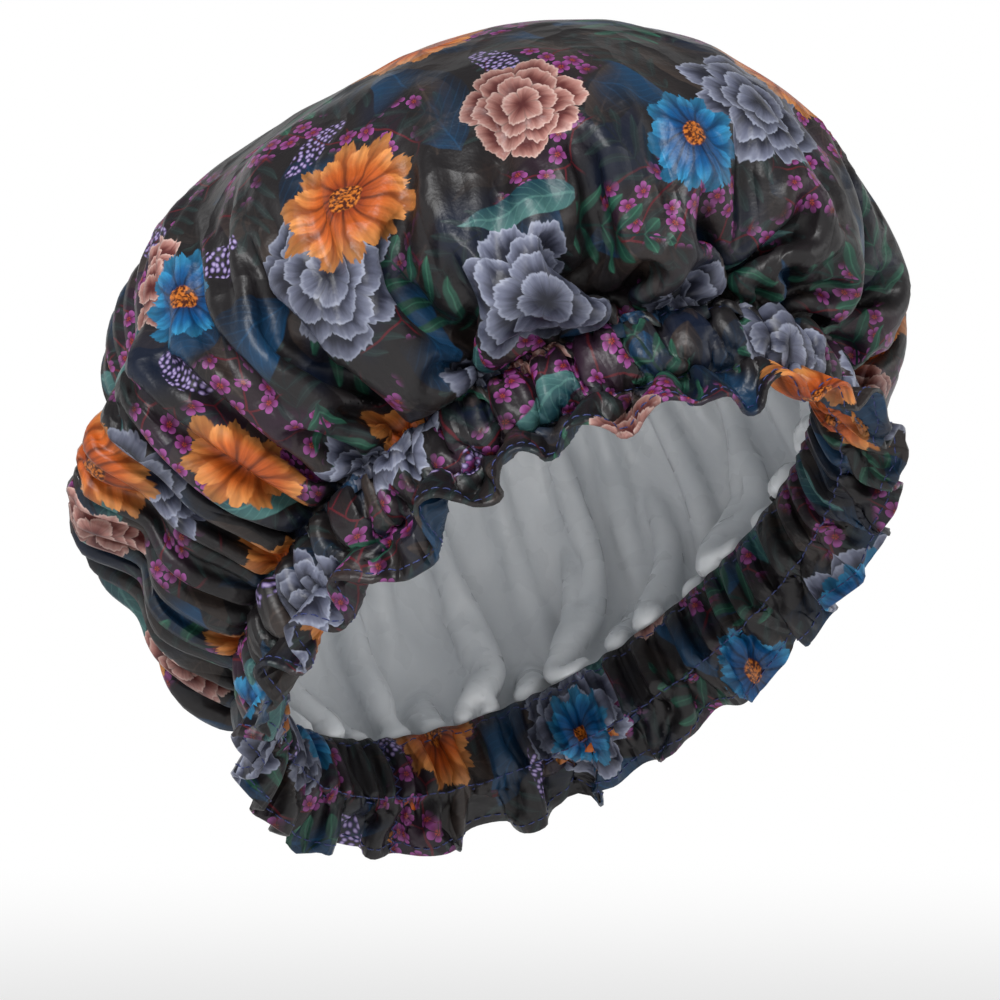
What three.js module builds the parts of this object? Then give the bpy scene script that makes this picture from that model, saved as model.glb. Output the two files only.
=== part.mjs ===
// Shower cap: a puffed cloth crown and its waterproof lining, gathered into a folded band that carries
// an elastic loop and ends in a ruffle. Millimetres, +Z up. The wearer looks along -Y, and the origin is
// the middle of the elastic loop.

import * as THREE from 'three';

// Elastic loop as worn, its front higher than its back
const LOOP_HALF_LENGTH = 102;
const LOOP_HALF_WIDTH = 77;
const LOOP_TILT_DEG = 38;

// Cloth, film and thread
const PLY = 0.8;
const LINING = 0.5;
const THREAD = 0.6;
const CLEARANCE = 0.4;

// Elastic strip, its ends lapped at the nape and held by one bar tack
const ELASTIC_WIDTH = 12;
const ELASTIC_THICKNESS = 1.2;
const ELASTIC_LAP = 16;
const ELASTIC_CLIMB = 40;
const TACK_LENGTH = 9;
const TACK_WIDTH = 2;
const TACK_THICKNESS = 0.6;

// Band: one strip folded at the hem, with the elastic between its two rows of stitches
const CHANNEL_SHOULDER = 1.6;
const SEAM_ALLOWANCE = 4;
const TOP_EDGE = 2.5;
const RUFFLE_DROP = 17;
const RUFFLE_FLARE = 4;
const HEM_INSET = 3;

// Gathers round the loop: how many waves, and how far they swing in and out
const GATHER_COUNT = 18;
const COLUMNS_PER_GATHER = 4;
const CHANNEL_SWING = 1.2;
const RUFFLE_SWING = 6;

// Crown: radius of its flat disc of cloth, how far it bulges past the loop, and how high it stands
const DISC_RADIUS = 224;
const OVERHANG_SIDE = 40;
const OVERHANG_FRONT = 34;
const OVERHANG_BACK = 7;
const BULGE_LEVEL = 46;
const BULGE_FRONT_LIFT = 5;
const CROWN_HEIGHT = 129;
const APEX_FORWARD = 40;
const CROWN_FULLNESS = 0.6;

// Swell of the crown: it stands out over the brow and the nape and sinks over the ears, up to a length
// along the cloth. It stands out more than it sinks, and most in its lower part.
const SWELL = 3.6;
const SWELL_OUT_SHARE = 1.4;
const SWELL_LOWNESS = 0.22;
const SWELL_REACH = 70;

// Roll that sags over itself at the wearer's right, towards the back: its middle round the loop and up
// the cloth, how far it spreads, and the creases above and below it as shares of its swing
const SAG_TURN = 0.175;
const SAG_SPREAD = 0.08;
const SAG_RUN = 62;
const SAG_WIDTH = 12.5;
const SAG_SWING = 12;
const SAG_CREASES = [{ apart: 19, share: 1 }, { apart: -20, share: 1.4 }];

// Folds of the crown, gathered into the band: turn at the band, turn at the upper end, length and depth
const FOLDS = [
  { foot: 0.031, head: 0.028, reach: 88, groove: 8 },
  { foot: 0.085, head: 0.102, reach: 112, groove: 8 },
  { foot: 0.131, head: 0.136, reach: 56, groove: 6 },
  { foot: 0.168, head: 0.166, reach: 58, groove: 7 },
  { foot: 0.205, head: 0.210, reach: 86, groove: 12 },
  { foot: 0.258, head: 0.268, reach: 94, groove: 12 },
  { foot: 0.296, head: 0.290, reach: 58, groove: 7 },
  { foot: 0.338, head: 0.344, reach: 90, groove: 11 },
  { foot: 0.388, head: 0.402, reach: 104, groove: 9 },
  { foot: 0.452, head: 0.446, reach: 66, groove: 8 },
  { foot: 0.508, head: 0.484, reach: 84, groove: 9 },
  { foot: 0.580, head: 0.562, reach: 92, groove: 10 },
  { foot: 0.634, head: 0.640, reach: 76, groove: 9 },
  { foot: 0.682, head: 0.680, reach: 62, groove: 7 },
  { foot: 0.720, head: 0.726, reach: 92, groove: 12 },
  { foot: 0.780, head: 0.784, reach: 86, groove: 12 },
  { foot: 0.838, head: 0.834, reach: 62, groove: 8 },
  { foot: 0.885, head: 0.872, reach: 104, groove: 9 },
  { foot: 0.943, head: 0.940, reach: 88, groove: 8 },
];

// How the folds settle: the share that is left of their length and depth, and their bow towards the nape
// as a share of the loop. They are narrow, with broad ridges between them, and end within the fold zone.
const SETTLED_REACH = 0.68;
const SETTLED_DEPTH = 0.75;
const FOLD_BOW = 0.008;
const RIDGE_SHARE = 0.58;
const FLANK_SHARE = 0.56;
const FOLD_ZONE = 80;

// Meridian of the crown: share of it below the bulge, how steeply it leaves the seam and meets the
// bulge, and the rings of points along the folds and from there to the last one below the apex
const BULGE_SHARE = 0.3;
const SEAM_PULL = 6;
const BULGE_PULL = 22;
const RINGS_IN_FOLDS = 5;
const RINGS_ABOVE_FOLDS = 4;
const COLUMN_STEP_ABOVE_FOLDS = 2;

// Heights above the middle of the elastic
const ELASTIC_TOP = ELASTIC_WIDTH / 2;
const ELASTIC_FOOT = -ELASTIC_WIDTH / 2;
const LOWER_ROW = ELASTIC_FOOT - CHANNEL_SHOULDER;
const ALLOWANCE_FOOT = ELASTIC_TOP + CLEARANCE;
const UPPER_ROW = ALLOWANCE_FOOT + SEAM_ALLOWANCE;
const BAND_TOP = UPPER_ROW + TOP_EDGE;
const MOUTH_TOP = BAND_TOP + CLEARANCE;
const HEM = LOWER_ROW - RUFFLE_DROP;
const HEM_ROW = HEM + HEM_INSET;
const HEM_ROW_SHARE = 1 - HEM_INSET / RUFFLE_DROP;
const STITCH_STANDOFF = THREAD / 2 + CLEARANCE;

// Distances outward from the inner face of the band, through the layers sewn together at the seam
const INNER_PLY_OUT = PLY;
const LINING_IN = INNER_PLY_OUT + CLEARANCE;
const CROWN_OUT = LINING_IN + LINING + CLEARANCE + PLY;
const OUTER_PLY_IN = CROWN_OUT + CLEARANCE;
const OUTER_PLY_OUT = OUTER_PLY_IN + PLY;
const RUFFLE_OUT = PLY + PLY;

// Distances outward through the channel at the lap of the elastic
const ELASTIC_IN = INNER_PLY_OUT + CLEARANCE;
const LAP_STEP = ELASTIC_THICKNESS + CLEARANCE;
const LAP_OUT = ELASTIC_IN + LAP_STEP + ELASTIC_THICKNESS;
const TACK_IN = LAP_OUT + CLEARANCE;
const CHANNEL_IN = TACK_IN + TACK_THICKNESS + CLEARANCE + CHANNEL_SWING;
const CHANNEL_OUT = CHANNEL_IN + PLY;

const COLUMNS = GATHER_COUNT * COLUMNS_PER_GATHER;

// Lift of the cloth across a fold and the ridge after it, as shares of the fold's depth
const FOLD_PROFILE = [-1, FLANK_SHARE, RIDGE_SHARE, FLANK_SHARE];
const CROWN_COLUMNS = FOLDS.length * FOLD_PROFILE.length;

// How finely the loop's length is measured, and the part of a column over which a slope is taken
const LENGTH_SAMPLES_PER_COLUMN = 10;
const SLOPE_SHARE_OF_COLUMN = 0.25;

const materials = {
  crown: new THREE.MeshStandardMaterial({ color: 0x2c2b36, roughness: 0.5, metalness: 0 }),
  band: new THREE.MeshStandardMaterial({ color: 0x33303f, roughness: 0.5, metalness: 0 }),
  lining: new THREE.MeshStandardMaterial({ color: 0xd9dce0, roughness: 0.35, metalness: 0 }),
  elastic: new THREE.MeshStandardMaterial({ color: 0xe8e6e0, roughness: 0.8, metalness: 0 }),
  thread: new THREE.MeshStandardMaterial({ color: 0x1b2350, roughness: 0.6, metalness: 0 }),
};

// The loop seen along its axis, from the nape round by the wearer's right, with even steps of length
const loop = new THREE.EllipseCurve(
  0, 0, LOOP_HALF_WIDTH, LOOP_HALF_LENGTH, Math.PI / 2, Math.PI / 2 + 2 * Math.PI);
loop.arcLengthDivisions = LENGTH_SAMPLES_PER_COLUMN * COLUMNS;
const LOOP_LENGTH = loop.getLength();

// Share of the way round the loop, kept between 0 and 1
function wrap(turn) {
  return turn - Math.floor(turn);
}

function loopPoint(turn) {
  return loop.getPointAt(wrap(turn));
}

function outward(turn) {
  const tangent = loop.getTangentAt(wrap(turn));
  return new THREE.Vector3(tangent.y, -tangent.x, 0);
}

// A point at a distance outward from the band's inner face and a height above the elastic's middle
function onLoop(turn, out, level) {
  const point = loopPoint(turn);
  return new THREE.Vector3(point.x, point.y, level).addScaledVector(outward(turn), out);
}

function gather(turn) {
  return Math.cos(2 * Math.PI * GATHER_COUNT * turn);
}

// A closed body from rings of points that follow each other. Rings run along the first list, points
// round each ring along the second, and each end is either joined to the other end or capped. Every
// panel is split from its lower near corner, so the two faces of a thin wall bend along the same lines.
function sweptBody(rings, joined) {
  const count = rings.length;
  const sides = rings[0].length;
  const index = [];
  const last = joined ? count : count - 1;
  for (let i = 0; i < last; i += 1) {
    for (let j = 0; j < sides; j += 1) {
      const a = i * sides + j;
      const b = i * sides + ((j + 1) % sides);
      const c = ((i + 1) % count) * sides + j;
      const d = ((i + 1) % count) * sides + ((j + 1) % sides);
      const rising = rings[i][(j + 1) % sides].z > rings[i][j].z;
      index.push(...(rising ? [a, b, d, a, d, c] : [a, b, c, b, d, c]));
    }
  }
  if (!joined) {
    const end = (count - 1) * sides;
    for (let j = 1; j < sides - 1; j += 1) {
      index.push(0, j + 1, j, end, end + j, end + j + 1);
    }
  }
  return bodyFrom(rings.flat(), index);
}

function bodyFrom(points, index) {
  const geometry = new THREE.BufferGeometry();
  geometry.setFromPoints(points);
  geometry.setIndex(index);
  geometry.computeVertexNormals();
  return geometry;
}

// Bulge of the crown at a turn: the widest line of the dome, fuller in front than at the nape
function bulgePoint(turn) {
  const point = loopPoint(turn);
  const across = point.x / LOOP_HALF_WIDTH;
  const along = point.y / LOOP_HALF_LENGTH;
  const overhang = THREE.MathUtils.lerp(OVERHANG_FRONT, OVERHANG_BACK, (along + 1) / 2);
  return new THREE.Vector3(
    across * (LOOP_HALF_WIDTH + OVERHANG_SIDE),
    along * (LOOP_HALF_LENGTH + overhang),
    BULGE_LEVEL - BULGE_FRONT_LIFT * along);
}

// Smooth dome without folds: up out of the seam, round the bulge and over to the apex
function domePoint(turn, rise) {
  const seam = onLoop(turn, CROWN_OUT, MOUTH_TOP);
  const bulge = bulgePoint(turn);
  if (rise < BULGE_SHARE) {
    const leave = seam.clone().setZ(seam.z + SEAM_PULL);
    const meet = bulge.clone().setZ(bulge.z - BULGE_PULL);
    return new THREE.CubicBezierCurve3(seam, leave, meet, bulge).getPoint(rise / BULGE_SHARE);
  }
  const climb = ((rise - BULGE_SHARE) / (1 - BULGE_SHARE)) * (Math.PI / 2);
  const reach = Math.cos(climb) ** CROWN_FULLNESS;
  const apex = new THREE.Vector3(0, -APEX_FORWARD, bulge.z);
  const point = apex.lerp(bulge, reach);
  point.z += (CROWN_HEIGHT - bulge.z) * Math.sin(climb);
  return point;
}

// Meridian of the dome at a turn, along which lengths of cloth are measured
class Meridian extends THREE.Curve {
  constructor(turn) {
    super();
    this.turn = turn;
  }

  getPoint(rise) {
    return domePoint(this.turn, rise);
  }
}

// Point of the dome at a turn, a length of cloth up from the band
function domeAt(turn, run) {
  return new Meridian(turn).getPointAt(run / DISC_RADIUS);
}

function domeNormal(turn, run) {
  const step = SLOPE_SHARE_OF_COLUMN / CROWN_COLUMNS;
  const ahead = domeAt(turn + step, run).sub(domeAt(turn - step, run));
  const upward = domeAt(turn, run + step * DISC_RADIUS).sub(domeAt(turn, run - step * DISC_RADIUS));
  return ahead.cross(upward).normalize();
}

// One fold at a length of cloth up from the band: its turn, counted on past the nape, and its depth
function foldAt(number, run) {
  const fold = FOLDS[number % FOLDS.length];
  const along = Math.min(run / (SETTLED_REACH * fold.reach), 1);
  const middle = Math.sin(Math.PI * along);
  const lean = THREE.MathUtils.lerp(fold.foot, fold.head, along);
  const bow = FOLD_BOW * middle * Math.sin(2 * Math.PI * fold.foot);
  const lap = Math.floor(number / FOLDS.length);
  return { turn: lap + lean - bow, depth: SETTLED_DEPTH * fold.groove * middle };
}

// A smooth hump that is 1 at its middle
function hump(distance, width) {
  return Math.exp(-((distance / width) ** 2));
}

// How far the sagging roll stands out of the dome, or is creased into it
function sagLift(turn, run) {
  const creased = (lift, { apart, share }) => lift - share * hump(run - SAG_RUN - apart, SAG_WIDTH);
  const roll = SAG_CREASES.reduce(creased, hump(run - SAG_RUN, SAG_WIDTH));
  const beside = turn - SAG_TURN;
  return SAG_SWING * roll * hump(beside - Math.round(beside), SAG_SPREAD);
}

// Turn and lift of a column of the crown, which lies in a fold or a share of the way to the next one
function crownColumn(column, run) {
  const number = Math.floor(column / FOLD_PROFILE.length);
  const step = column % FOLD_PROFILE.length;
  const here = foldAt(number, run);
  const next = foldAt(number + 1, run);
  const turn = THREE.MathUtils.lerp(here.turn, next.turn, step / FOLD_PROFILE.length);
  const depth = THREE.MathUtils.lerp(here.depth, next.depth, step / FOLD_PROFILE.length);
  const height = Math.sin(Math.PI * Math.min(run / SWELL_REACH, 1) ** SWELL_LOWNESS);
  const swell = SWELL * height * (Math.cos(4 * Math.PI * turn) + SWELL_OUT_SHARE);
  return { turn, lift: swell + sagLift(turn, run) + depth * FOLD_PROFILE[step] };
}

// A point of the crown at a depth below its outer face
function crownPoint(column, run, depth) {
  const { turn, lift } = crownColumn(column, run);
  const normal = run > 0 ? domeNormal(turn, run) : outward(turn);
  return domeAt(turn, run).addScaledVector(normal, lift - depth);
}

// Lengths of cloth up from the band at which the crown has a ring of points
function crownRuns() {
  const low = Array.from({ length: RINGS_IN_FOLDS }, (_, i) => (FOLD_ZONE * i) / RINGS_IN_FOLDS);
  const step = (DISC_RADIUS - FOLD_ZONE) / RINGS_ABOVE_FOLDS;
  const high = Array.from({ length: RINGS_ABOVE_FOLDS }, (_, i) => FOLD_ZONE + step * i);
  return low.concat(high);
}

// Columns of the crown, or every so many of them
function crownColumns(step) {
  return Array.from({ length: CROWN_COLUMNS / step }, (_, k) => k * step);
}

// One face of a crown layer: a ring on the raw edge down in the seam, the rings along the folds, rings of
// fewer points above them, and the apex
function crownFace(depth) {
  const edge = crownColumns(1).map((k) => onLoop(crownColumn(k, 0).turn, CROWN_OUT - depth, ALLOWANCE_FOOT));
  const step = (run) => (run < FOLD_ZONE ? 1 : COLUMN_STEP_ABOVE_FOLDS);
  const rings = crownRuns().map((run) => crownColumns(step(run)).map((k) => crownPoint(k, run, depth)));
  return [edge, ...rings, [new THREE.Vector3(0, -APEX_FORWARD, CROWN_HEIGHT - depth)]];
}

// Triangles from a ring of points to the next one up, which has as many points or a part as many
function ringTriangles(start, near, far) {
  const below = (k) => start + (k % near);
  const above = (k) => start + near + (Math.floor((k * far) / near) % far);
  const triangles = [];
  for (let k = 0; k < near; k += 1) {
    triangles.push([below(k), below(k + 1), above(k)]);
    if (above(k + 1) !== above(k)) {
      triangles.push([below(k + 1), above(k + 1), above(k)]);
    }
  }
  return triangles;
}

// Triangles of one face, ring by ring, from the number of its first point
function faceTriangles(rings, start) {
  let first = start;
  return rings.slice(1).flatMap((ring, i) => {
    const triangles = ringTriangles(first, rings[i].length, ring.length);
    first += rings[i].length;
    return triangles;
  });
}

// A layer of the crown between two depths, open below and closed along its raw edge
function crownLayer(outerDepth, innerDepth) {
  const outer = crownFace(outerDepth);
  const inner = crownFace(innerDepth);
  const start = outer.flat().length;
  const inward = faceTriangles(inner, start).map(([a, b, c]) => [a, c, b]);
  const index = [...faceTriangles(outer, 0), ...inward].flat();
  for (let k = 0; k < CROWN_COLUMNS; k += 1) {
    const next = (k + 1) % CROWN_COLUMNS;
    index.push(k, start + k, next, next, start + k, start + next);
  }
  return bodyFrom([...outer.flat(), ...inner.flat()], index);
}

// Outline of the band's section: distance outward, height, and swing of the gathers there. It runs
// down the outer face, round the hem, up the inner face and back through the channel.
const bandOuterFace = [
  { out: OUTER_PLY_OUT, level: BAND_TOP, swing: 0 },
  { out: OUTER_PLY_OUT, level: UPPER_ROW, swing: 0 },
  { out: CHANNEL_OUT, level: UPPER_ROW - CHANNEL_SHOULDER, swing: CHANNEL_SWING },
  { out: CHANNEL_OUT, level: LOWER_ROW + CHANNEL_SHOULDER, swing: CHANNEL_SWING },
  { out: RUFFLE_OUT, level: LOWER_ROW, swing: 0 },
  { out: RUFFLE_OUT + RUFFLE_FLARE * HEM_ROW_SHARE, level: HEM_ROW, swing: RUFFLE_SWING * HEM_ROW_SHARE },
  { out: RUFFLE_OUT + RUFFLE_FLARE, level: HEM, swing: RUFFLE_SWING },
];
const bandInnerFace = [
  { out: RUFFLE_FLARE, level: HEM, swing: RUFFLE_SWING },
  { out: RUFFLE_FLARE * HEM_ROW_SHARE, level: HEM_ROW, swing: RUFFLE_SWING * HEM_ROW_SHARE },
  { out: 0, level: LOWER_ROW, swing: 0 },
  { out: 0, level: BAND_TOP, swing: 0 },
];
const bandChannel = [
  { out: INNER_PLY_OUT, level: BAND_TOP, swing: 0 },
  { out: INNER_PLY_OUT, level: LOWER_ROW, swing: 0 },
  { out: CHANNEL_IN, level: LOWER_ROW + CHANNEL_SHOULDER, swing: CHANNEL_SWING },
  { out: CHANNEL_IN, level: UPPER_ROW - CHANNEL_SHOULDER, swing: CHANNEL_SWING },
  { out: OUTER_PLY_IN, level: UPPER_ROW, swing: 0 },
  { out: OUTER_PLY_IN, level: BAND_TOP, swing: 0 },
];

function sectionPoint(turn, place) {
  return onLoop(turn, place.out + place.swing * gather(turn), place.level);
}

function ruffleBand() {
  const section = [...bandOuterFace, ...bandInnerFace, ...bandChannel];
  const rings = [];
  for (let k = 0; k < COLUMNS; k += 1) {
    rings.push(section.map((place) => sectionPoint(k / COLUMNS, place)));
  }
  return sweptBody(rings, true);
}

// Elastic strip: it starts at the lap, runs once round and climbs over its own start
function elasticBand() {
  const halfLap = ELASTIC_LAP / 2 / LOOP_LENGTH;
  const climb = ELASTIC_CLIMB / LOOP_LENGTH;
  const turns = [-halfLap, ...Array.from({ length: COLUMNS + 1 }, (_, k) => k / COLUMNS), 1 + halfLap];
  const rings = turns.map((turn) => {
    const raised = THREE.MathUtils.smoothstep(turn, 1 - 2 * halfLap - climb, 1 - 2 * halfLap);
    const inside = ELASTIC_IN + LAP_STEP * raised;
    const outside = inside + ELASTIC_THICKNESS;
    return [
      onLoop(turn, outside, ELASTIC_TOP),
      onLoop(turn, outside, ELASTIC_FOOT),
      onLoop(turn, inside, ELASTIC_FOOT),
      onLoop(turn, inside, ELASTIC_TOP),
    ];
  });
  return sweptBody(rings, false);
}

// Bar tack across the lap, on the outer end of the elastic
function elasticTack() {
  const tack = new THREE.BoxGeometry(TACK_WIDTH, TACK_THICKNESS, TACK_LENGTH);
  const middle = onLoop(0, TACK_IN + TACK_THICKNESS / 2, 0);
  return tack.translate(middle.x, middle.y, middle.z);
}

// Place on the outer face of the band at a height, between the two points of its outline round it
function outerPlace(level) {
  const lower = bandOuterFace.findIndex((place, i) => i > 0 && place.level <= level);
  const above = bandOuterFace[lower - 1];
  const below = bandOuterFace[lower];
  const share = (above.level - level) / (above.level - below.level);
  return {
    out: THREE.MathUtils.lerp(above.out, below.out, share),
    swing: THREE.MathUtils.lerp(above.swing, below.swing, share),
    level,
  };
}

// One row of stitches round the band, as a thread that lies on its outer face
function stitchRow(level) {
  const half = THREAD / 2;
  const place = outerPlace(level);
  const middle = place.out + CLEARANCE + half;
  const rings = [];
  for (let k = 0; k < COLUMNS; k += 1) {
    const turn = k / COLUMNS;
    const out = middle + place.swing * gather(turn);
    rings.push([
      onLoop(turn, out, level + half),
      onLoop(turn, out + half, level),
      onLoop(turn, out, level - half),
      onLoop(turn, out - half, level),
    ]);
  }
  return sweptBody(rings, true);
}

// Seam that closes the band strip into a loop, down its inner face at the nape
function joinSeam() {
  const half = THREAD / 2;
  const rings = bandInnerFace.map((place) => {
    const middle = sectionPoint(0, { ...place, out: place.out - CLEARANCE - half });
    const side = new THREE.Vector3(half, 0, 0);
    const depth = outward(0).multiplyScalar(half);
    return [
      middle.clone().add(side),
      middle.clone().add(depth),
      middle.clone().sub(side),
      middle.clone().sub(depth),
    ];
  });
  return sweptBody(rings, false);
}

const cap = new THREE.Group();
cap.rotation.x = -THREE.MathUtils.degToRad(LOOP_TILT_DEG);

function place(name, geometry, material) {
  const mesh = new THREE.Mesh(geometry, material);
  mesh.name = name;
  cap.add(mesh);
}

place('crown_shell', crownLayer(0, PLY), materials.crown);
place('crown_lining', crownLayer(PLY + CLEARANCE, PLY + CLEARANCE + LINING), materials.lining);
place('ruffle_band', ruffleBand(), materials.band);
place('elastic_band', elasticBand(), materials.elastic);
place('elastic_lap_tack', elasticTack(), materials.thread);
place('crown_seam_thread', stitchRow(UPPER_ROW + STITCH_STANDOFF), materials.thread);
place('channel_thread', stitchRow(LOWER_ROW - STITCH_STANDOFF), materials.thread);
place('hem_thread', stitchRow(HEM_ROW), materials.thread);
place('band_join_thread', joinSeam(), materials.thread);

const shower_cap = new THREE.Group();
shower_cap.add(cap);

export default shower_cap;
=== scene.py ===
"""Looks of the shower cap: settled cloth, lining, gathered band, stitches, and a printed floral cloth.

The cloth is settled in millimetres in the band's own frame, whose third axis is square to the elastic loop,
and is then tilted into the part's frame and scaled to metres.
"""
import math

import bmesh
import bpy
import numpy as np
from mathutils import Matrix, Vector
from mathutils.bvhtree import BVHTree


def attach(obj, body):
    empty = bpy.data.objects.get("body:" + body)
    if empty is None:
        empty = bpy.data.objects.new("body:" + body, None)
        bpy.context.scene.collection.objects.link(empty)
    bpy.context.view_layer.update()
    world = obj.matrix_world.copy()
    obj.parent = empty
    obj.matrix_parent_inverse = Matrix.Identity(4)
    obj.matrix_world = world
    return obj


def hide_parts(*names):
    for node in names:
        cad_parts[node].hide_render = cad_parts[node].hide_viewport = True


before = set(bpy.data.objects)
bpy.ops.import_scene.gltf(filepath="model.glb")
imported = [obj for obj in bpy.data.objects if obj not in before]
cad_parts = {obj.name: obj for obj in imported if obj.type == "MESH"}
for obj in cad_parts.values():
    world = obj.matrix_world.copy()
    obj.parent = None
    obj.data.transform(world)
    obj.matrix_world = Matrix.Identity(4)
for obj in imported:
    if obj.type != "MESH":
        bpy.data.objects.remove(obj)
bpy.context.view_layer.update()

MM = 0.001
TINY = 1e-9

# Elastic loop as worn, its front higher than its back
LOOP_HALF_LENGTH = 102.0
LOOP_HALF_WIDTH = 77.0
LOOP_TILT = math.radians(38)
LOOP_STEPS = 4000

# Elastic strip inside the band, its ends lapped at the nape and held by a bar tack
ELASTIC_WIDTH = 12.0
ELASTIC_THICKNESS = 1.2
ELASTIC_IN = 1.2
ELASTIC_LAP = 16.0
ELASTIC_CLIMB = 40.0
LAP_STEP = 1.6
TACK_LENGTH = 9.0
TACK_WIDTH = 2.0

# Heights above the middle of the elastic
BAND_TOP = 12.9
UPPER_ROW = 10.4
LOWER_ROW = -7.6
HEM = -24.6

# Crown: a flat disc of cloth, and the dome that it is worn as
DISC_RADIUS = 224.0
OVERHANG_SIDE = 40.0
OVERHANG_FRONT = 34.0
OVERHANG_BACK = 7.0
BULGE_LEVEL = 46.0
BULGE_FRONT_LIFT = 5.0
CROWN_HEIGHT = 129.0
APEX_FORWARD = 40.0
CROWN_FULLNESS = 0.6
SEAM_PULL = 6.0
BULGE_PULL = 22.0
SEAM_OUT = 2.9
MOUTH_LEVEL = 13.5
TUCKED_EDGE = 6.0

# Band: a flat strip, gathered to the loop
STRIP_LENGTH = 900.0
TURNED_UNDER = 5.0
TOP_CLOTH = BAND_TOP - UPPER_ROW
CHANNEL_CLOTH = 22.0
RUFFLE_CLOTH = 18.0

# Thickness of the cloth, and the spaces between layers
CLOTH = 0.3
LINING_GAP = 0.75
PLY_GAP = 0.9


# Loop: places round the elastic by the share of its length from the nape, round by the wearer's right

def run_along(points):
    """How far along a line, or along each column of a grid, its points lie."""
    steps = np.linalg.norm(np.diff(points, axis=0), axis=-1)
    return np.concatenate([np.zeros((1, *steps.shape[1:])), np.cumsum(steps, 0)])


def loop_point(angle):
    return np.stack([LOOP_HALF_WIDTH * np.cos(angle), LOOP_HALF_LENGTH * np.sin(angle)], -1)


loop_angles = np.linspace(0, 2 * np.pi, LOOP_STEPS + 1) + np.pi / 2
loop_run = run_along(loop_point(loop_angles))
LOOP_LENGTH = loop_run[-1]
DOWN = np.array([0.0, math.sin(LOOP_TILT), -math.cos(LOOP_TILT)])


def around(columns):
    """Even shares of the loop, one for each column."""
    return np.arange(columns) / columns


def loop_angle(turn):
    return np.interp(np.mod(turn, 1.0) * LOOP_LENGTH, loop_run, loop_angles)


def outward(angle):
    """Direction straight out of the loop in its own plane."""
    way = np.stack([np.cos(angle) / LOOP_HALF_WIDTH, np.sin(angle) / LOOP_HALF_LENGTH], -1)
    return way / np.linalg.norm(way, axis=-1, keepdims=True)


def on_loop(turn, out, level):
    """Points at a distance outward from the loop and a height above the elastic's middle."""
    angle = loop_angle(turn)
    flat = loop_point(angle) + outward(angle) * np.broadcast_to(out, angle.shape)[..., None]
    return np.concatenate([flat, np.broadcast_to(level, angle.shape)[..., None]], -1)


def out_of_loop(points):
    """How far outward from the loop points lie, and the direction that is outward there."""
    angle = np.arctan2(points[..., 1] / LOOP_HALF_LENGTH, points[..., 0] / LOOP_HALF_WIDTH)
    way = outward(angle)
    return ((points[..., :2] - loop_point(angle)) * way).sum(-1), way


def nearest_turn(turn, middle):
    """Share of the loop from middle to turn, the short way round."""
    return np.mod(turn - middle + 0.5, 1.0) - 0.5


def hump(distance, width):
    """1 in the middle, fading to 0 over a width."""
    return np.exp(-(distance / width) ** 2)


def polar(radius, angle):
    return np.stack([radius * np.cos(angle), radius * np.sin(angle)], -1)


def to_part(points):
    """From the band's frame in millimetres to the part's frame in metres."""
    c, s = math.cos(LOOP_TILT), math.sin(LOOP_TILT)
    u, v, w = points[..., 0], points[..., 1], points[..., 2]
    return np.stack([u, v * c + w * s, w * c - v * s], -1) * MM


# Cloth: a grid of points with rows from one edge to the other and columns all the way round

# Share of a wrong length that each pass takes away: of stretch, squeeze, slant and touching folds
STRETCH_FIRM = 1.0
SQUEEZE_FIRM = 0.6
SLANT_FIRM = 0.25
FOLD_FIRM = 0.25

# Columns between the two sides of a fold, how far rows may close up, and the share of a move that goes on
FOLD_REACHES = (3, 5, 7, 9)
SPREAD = 0.97
DAMPING = 0.9


def turned(grid, columns):
    return np.roll(grid, columns, axis=1)


def unit(ways):
    return ways / (np.linalg.norm(ways, axis=-1, keepdims=True) + TINY)


def normals(grid):
    across = turned(grid, -1) - turned(grid, 1)
    along = np.gradient(grid, axis=0)
    return unit(np.cross(across, along))


def pull(a, b, free_a, free_b, rest, stretch=0.0, squeeze=0.0, slack=1.0):
    """Moves that bring pairs of points back to at most their rest distance and at least slack times it."""
    span = b - a
    length = np.sqrt((span * span).sum(-1, keepdims=True)) + TINY
    over = np.maximum(length - rest, 0.0) * stretch
    under = np.minimum(length - rest * slack, 0.0) * squeeze
    share = span * ((over + under) / length / np.maximum(free_a + free_b, TINY))
    return free_a * share, -free_b * share


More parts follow.
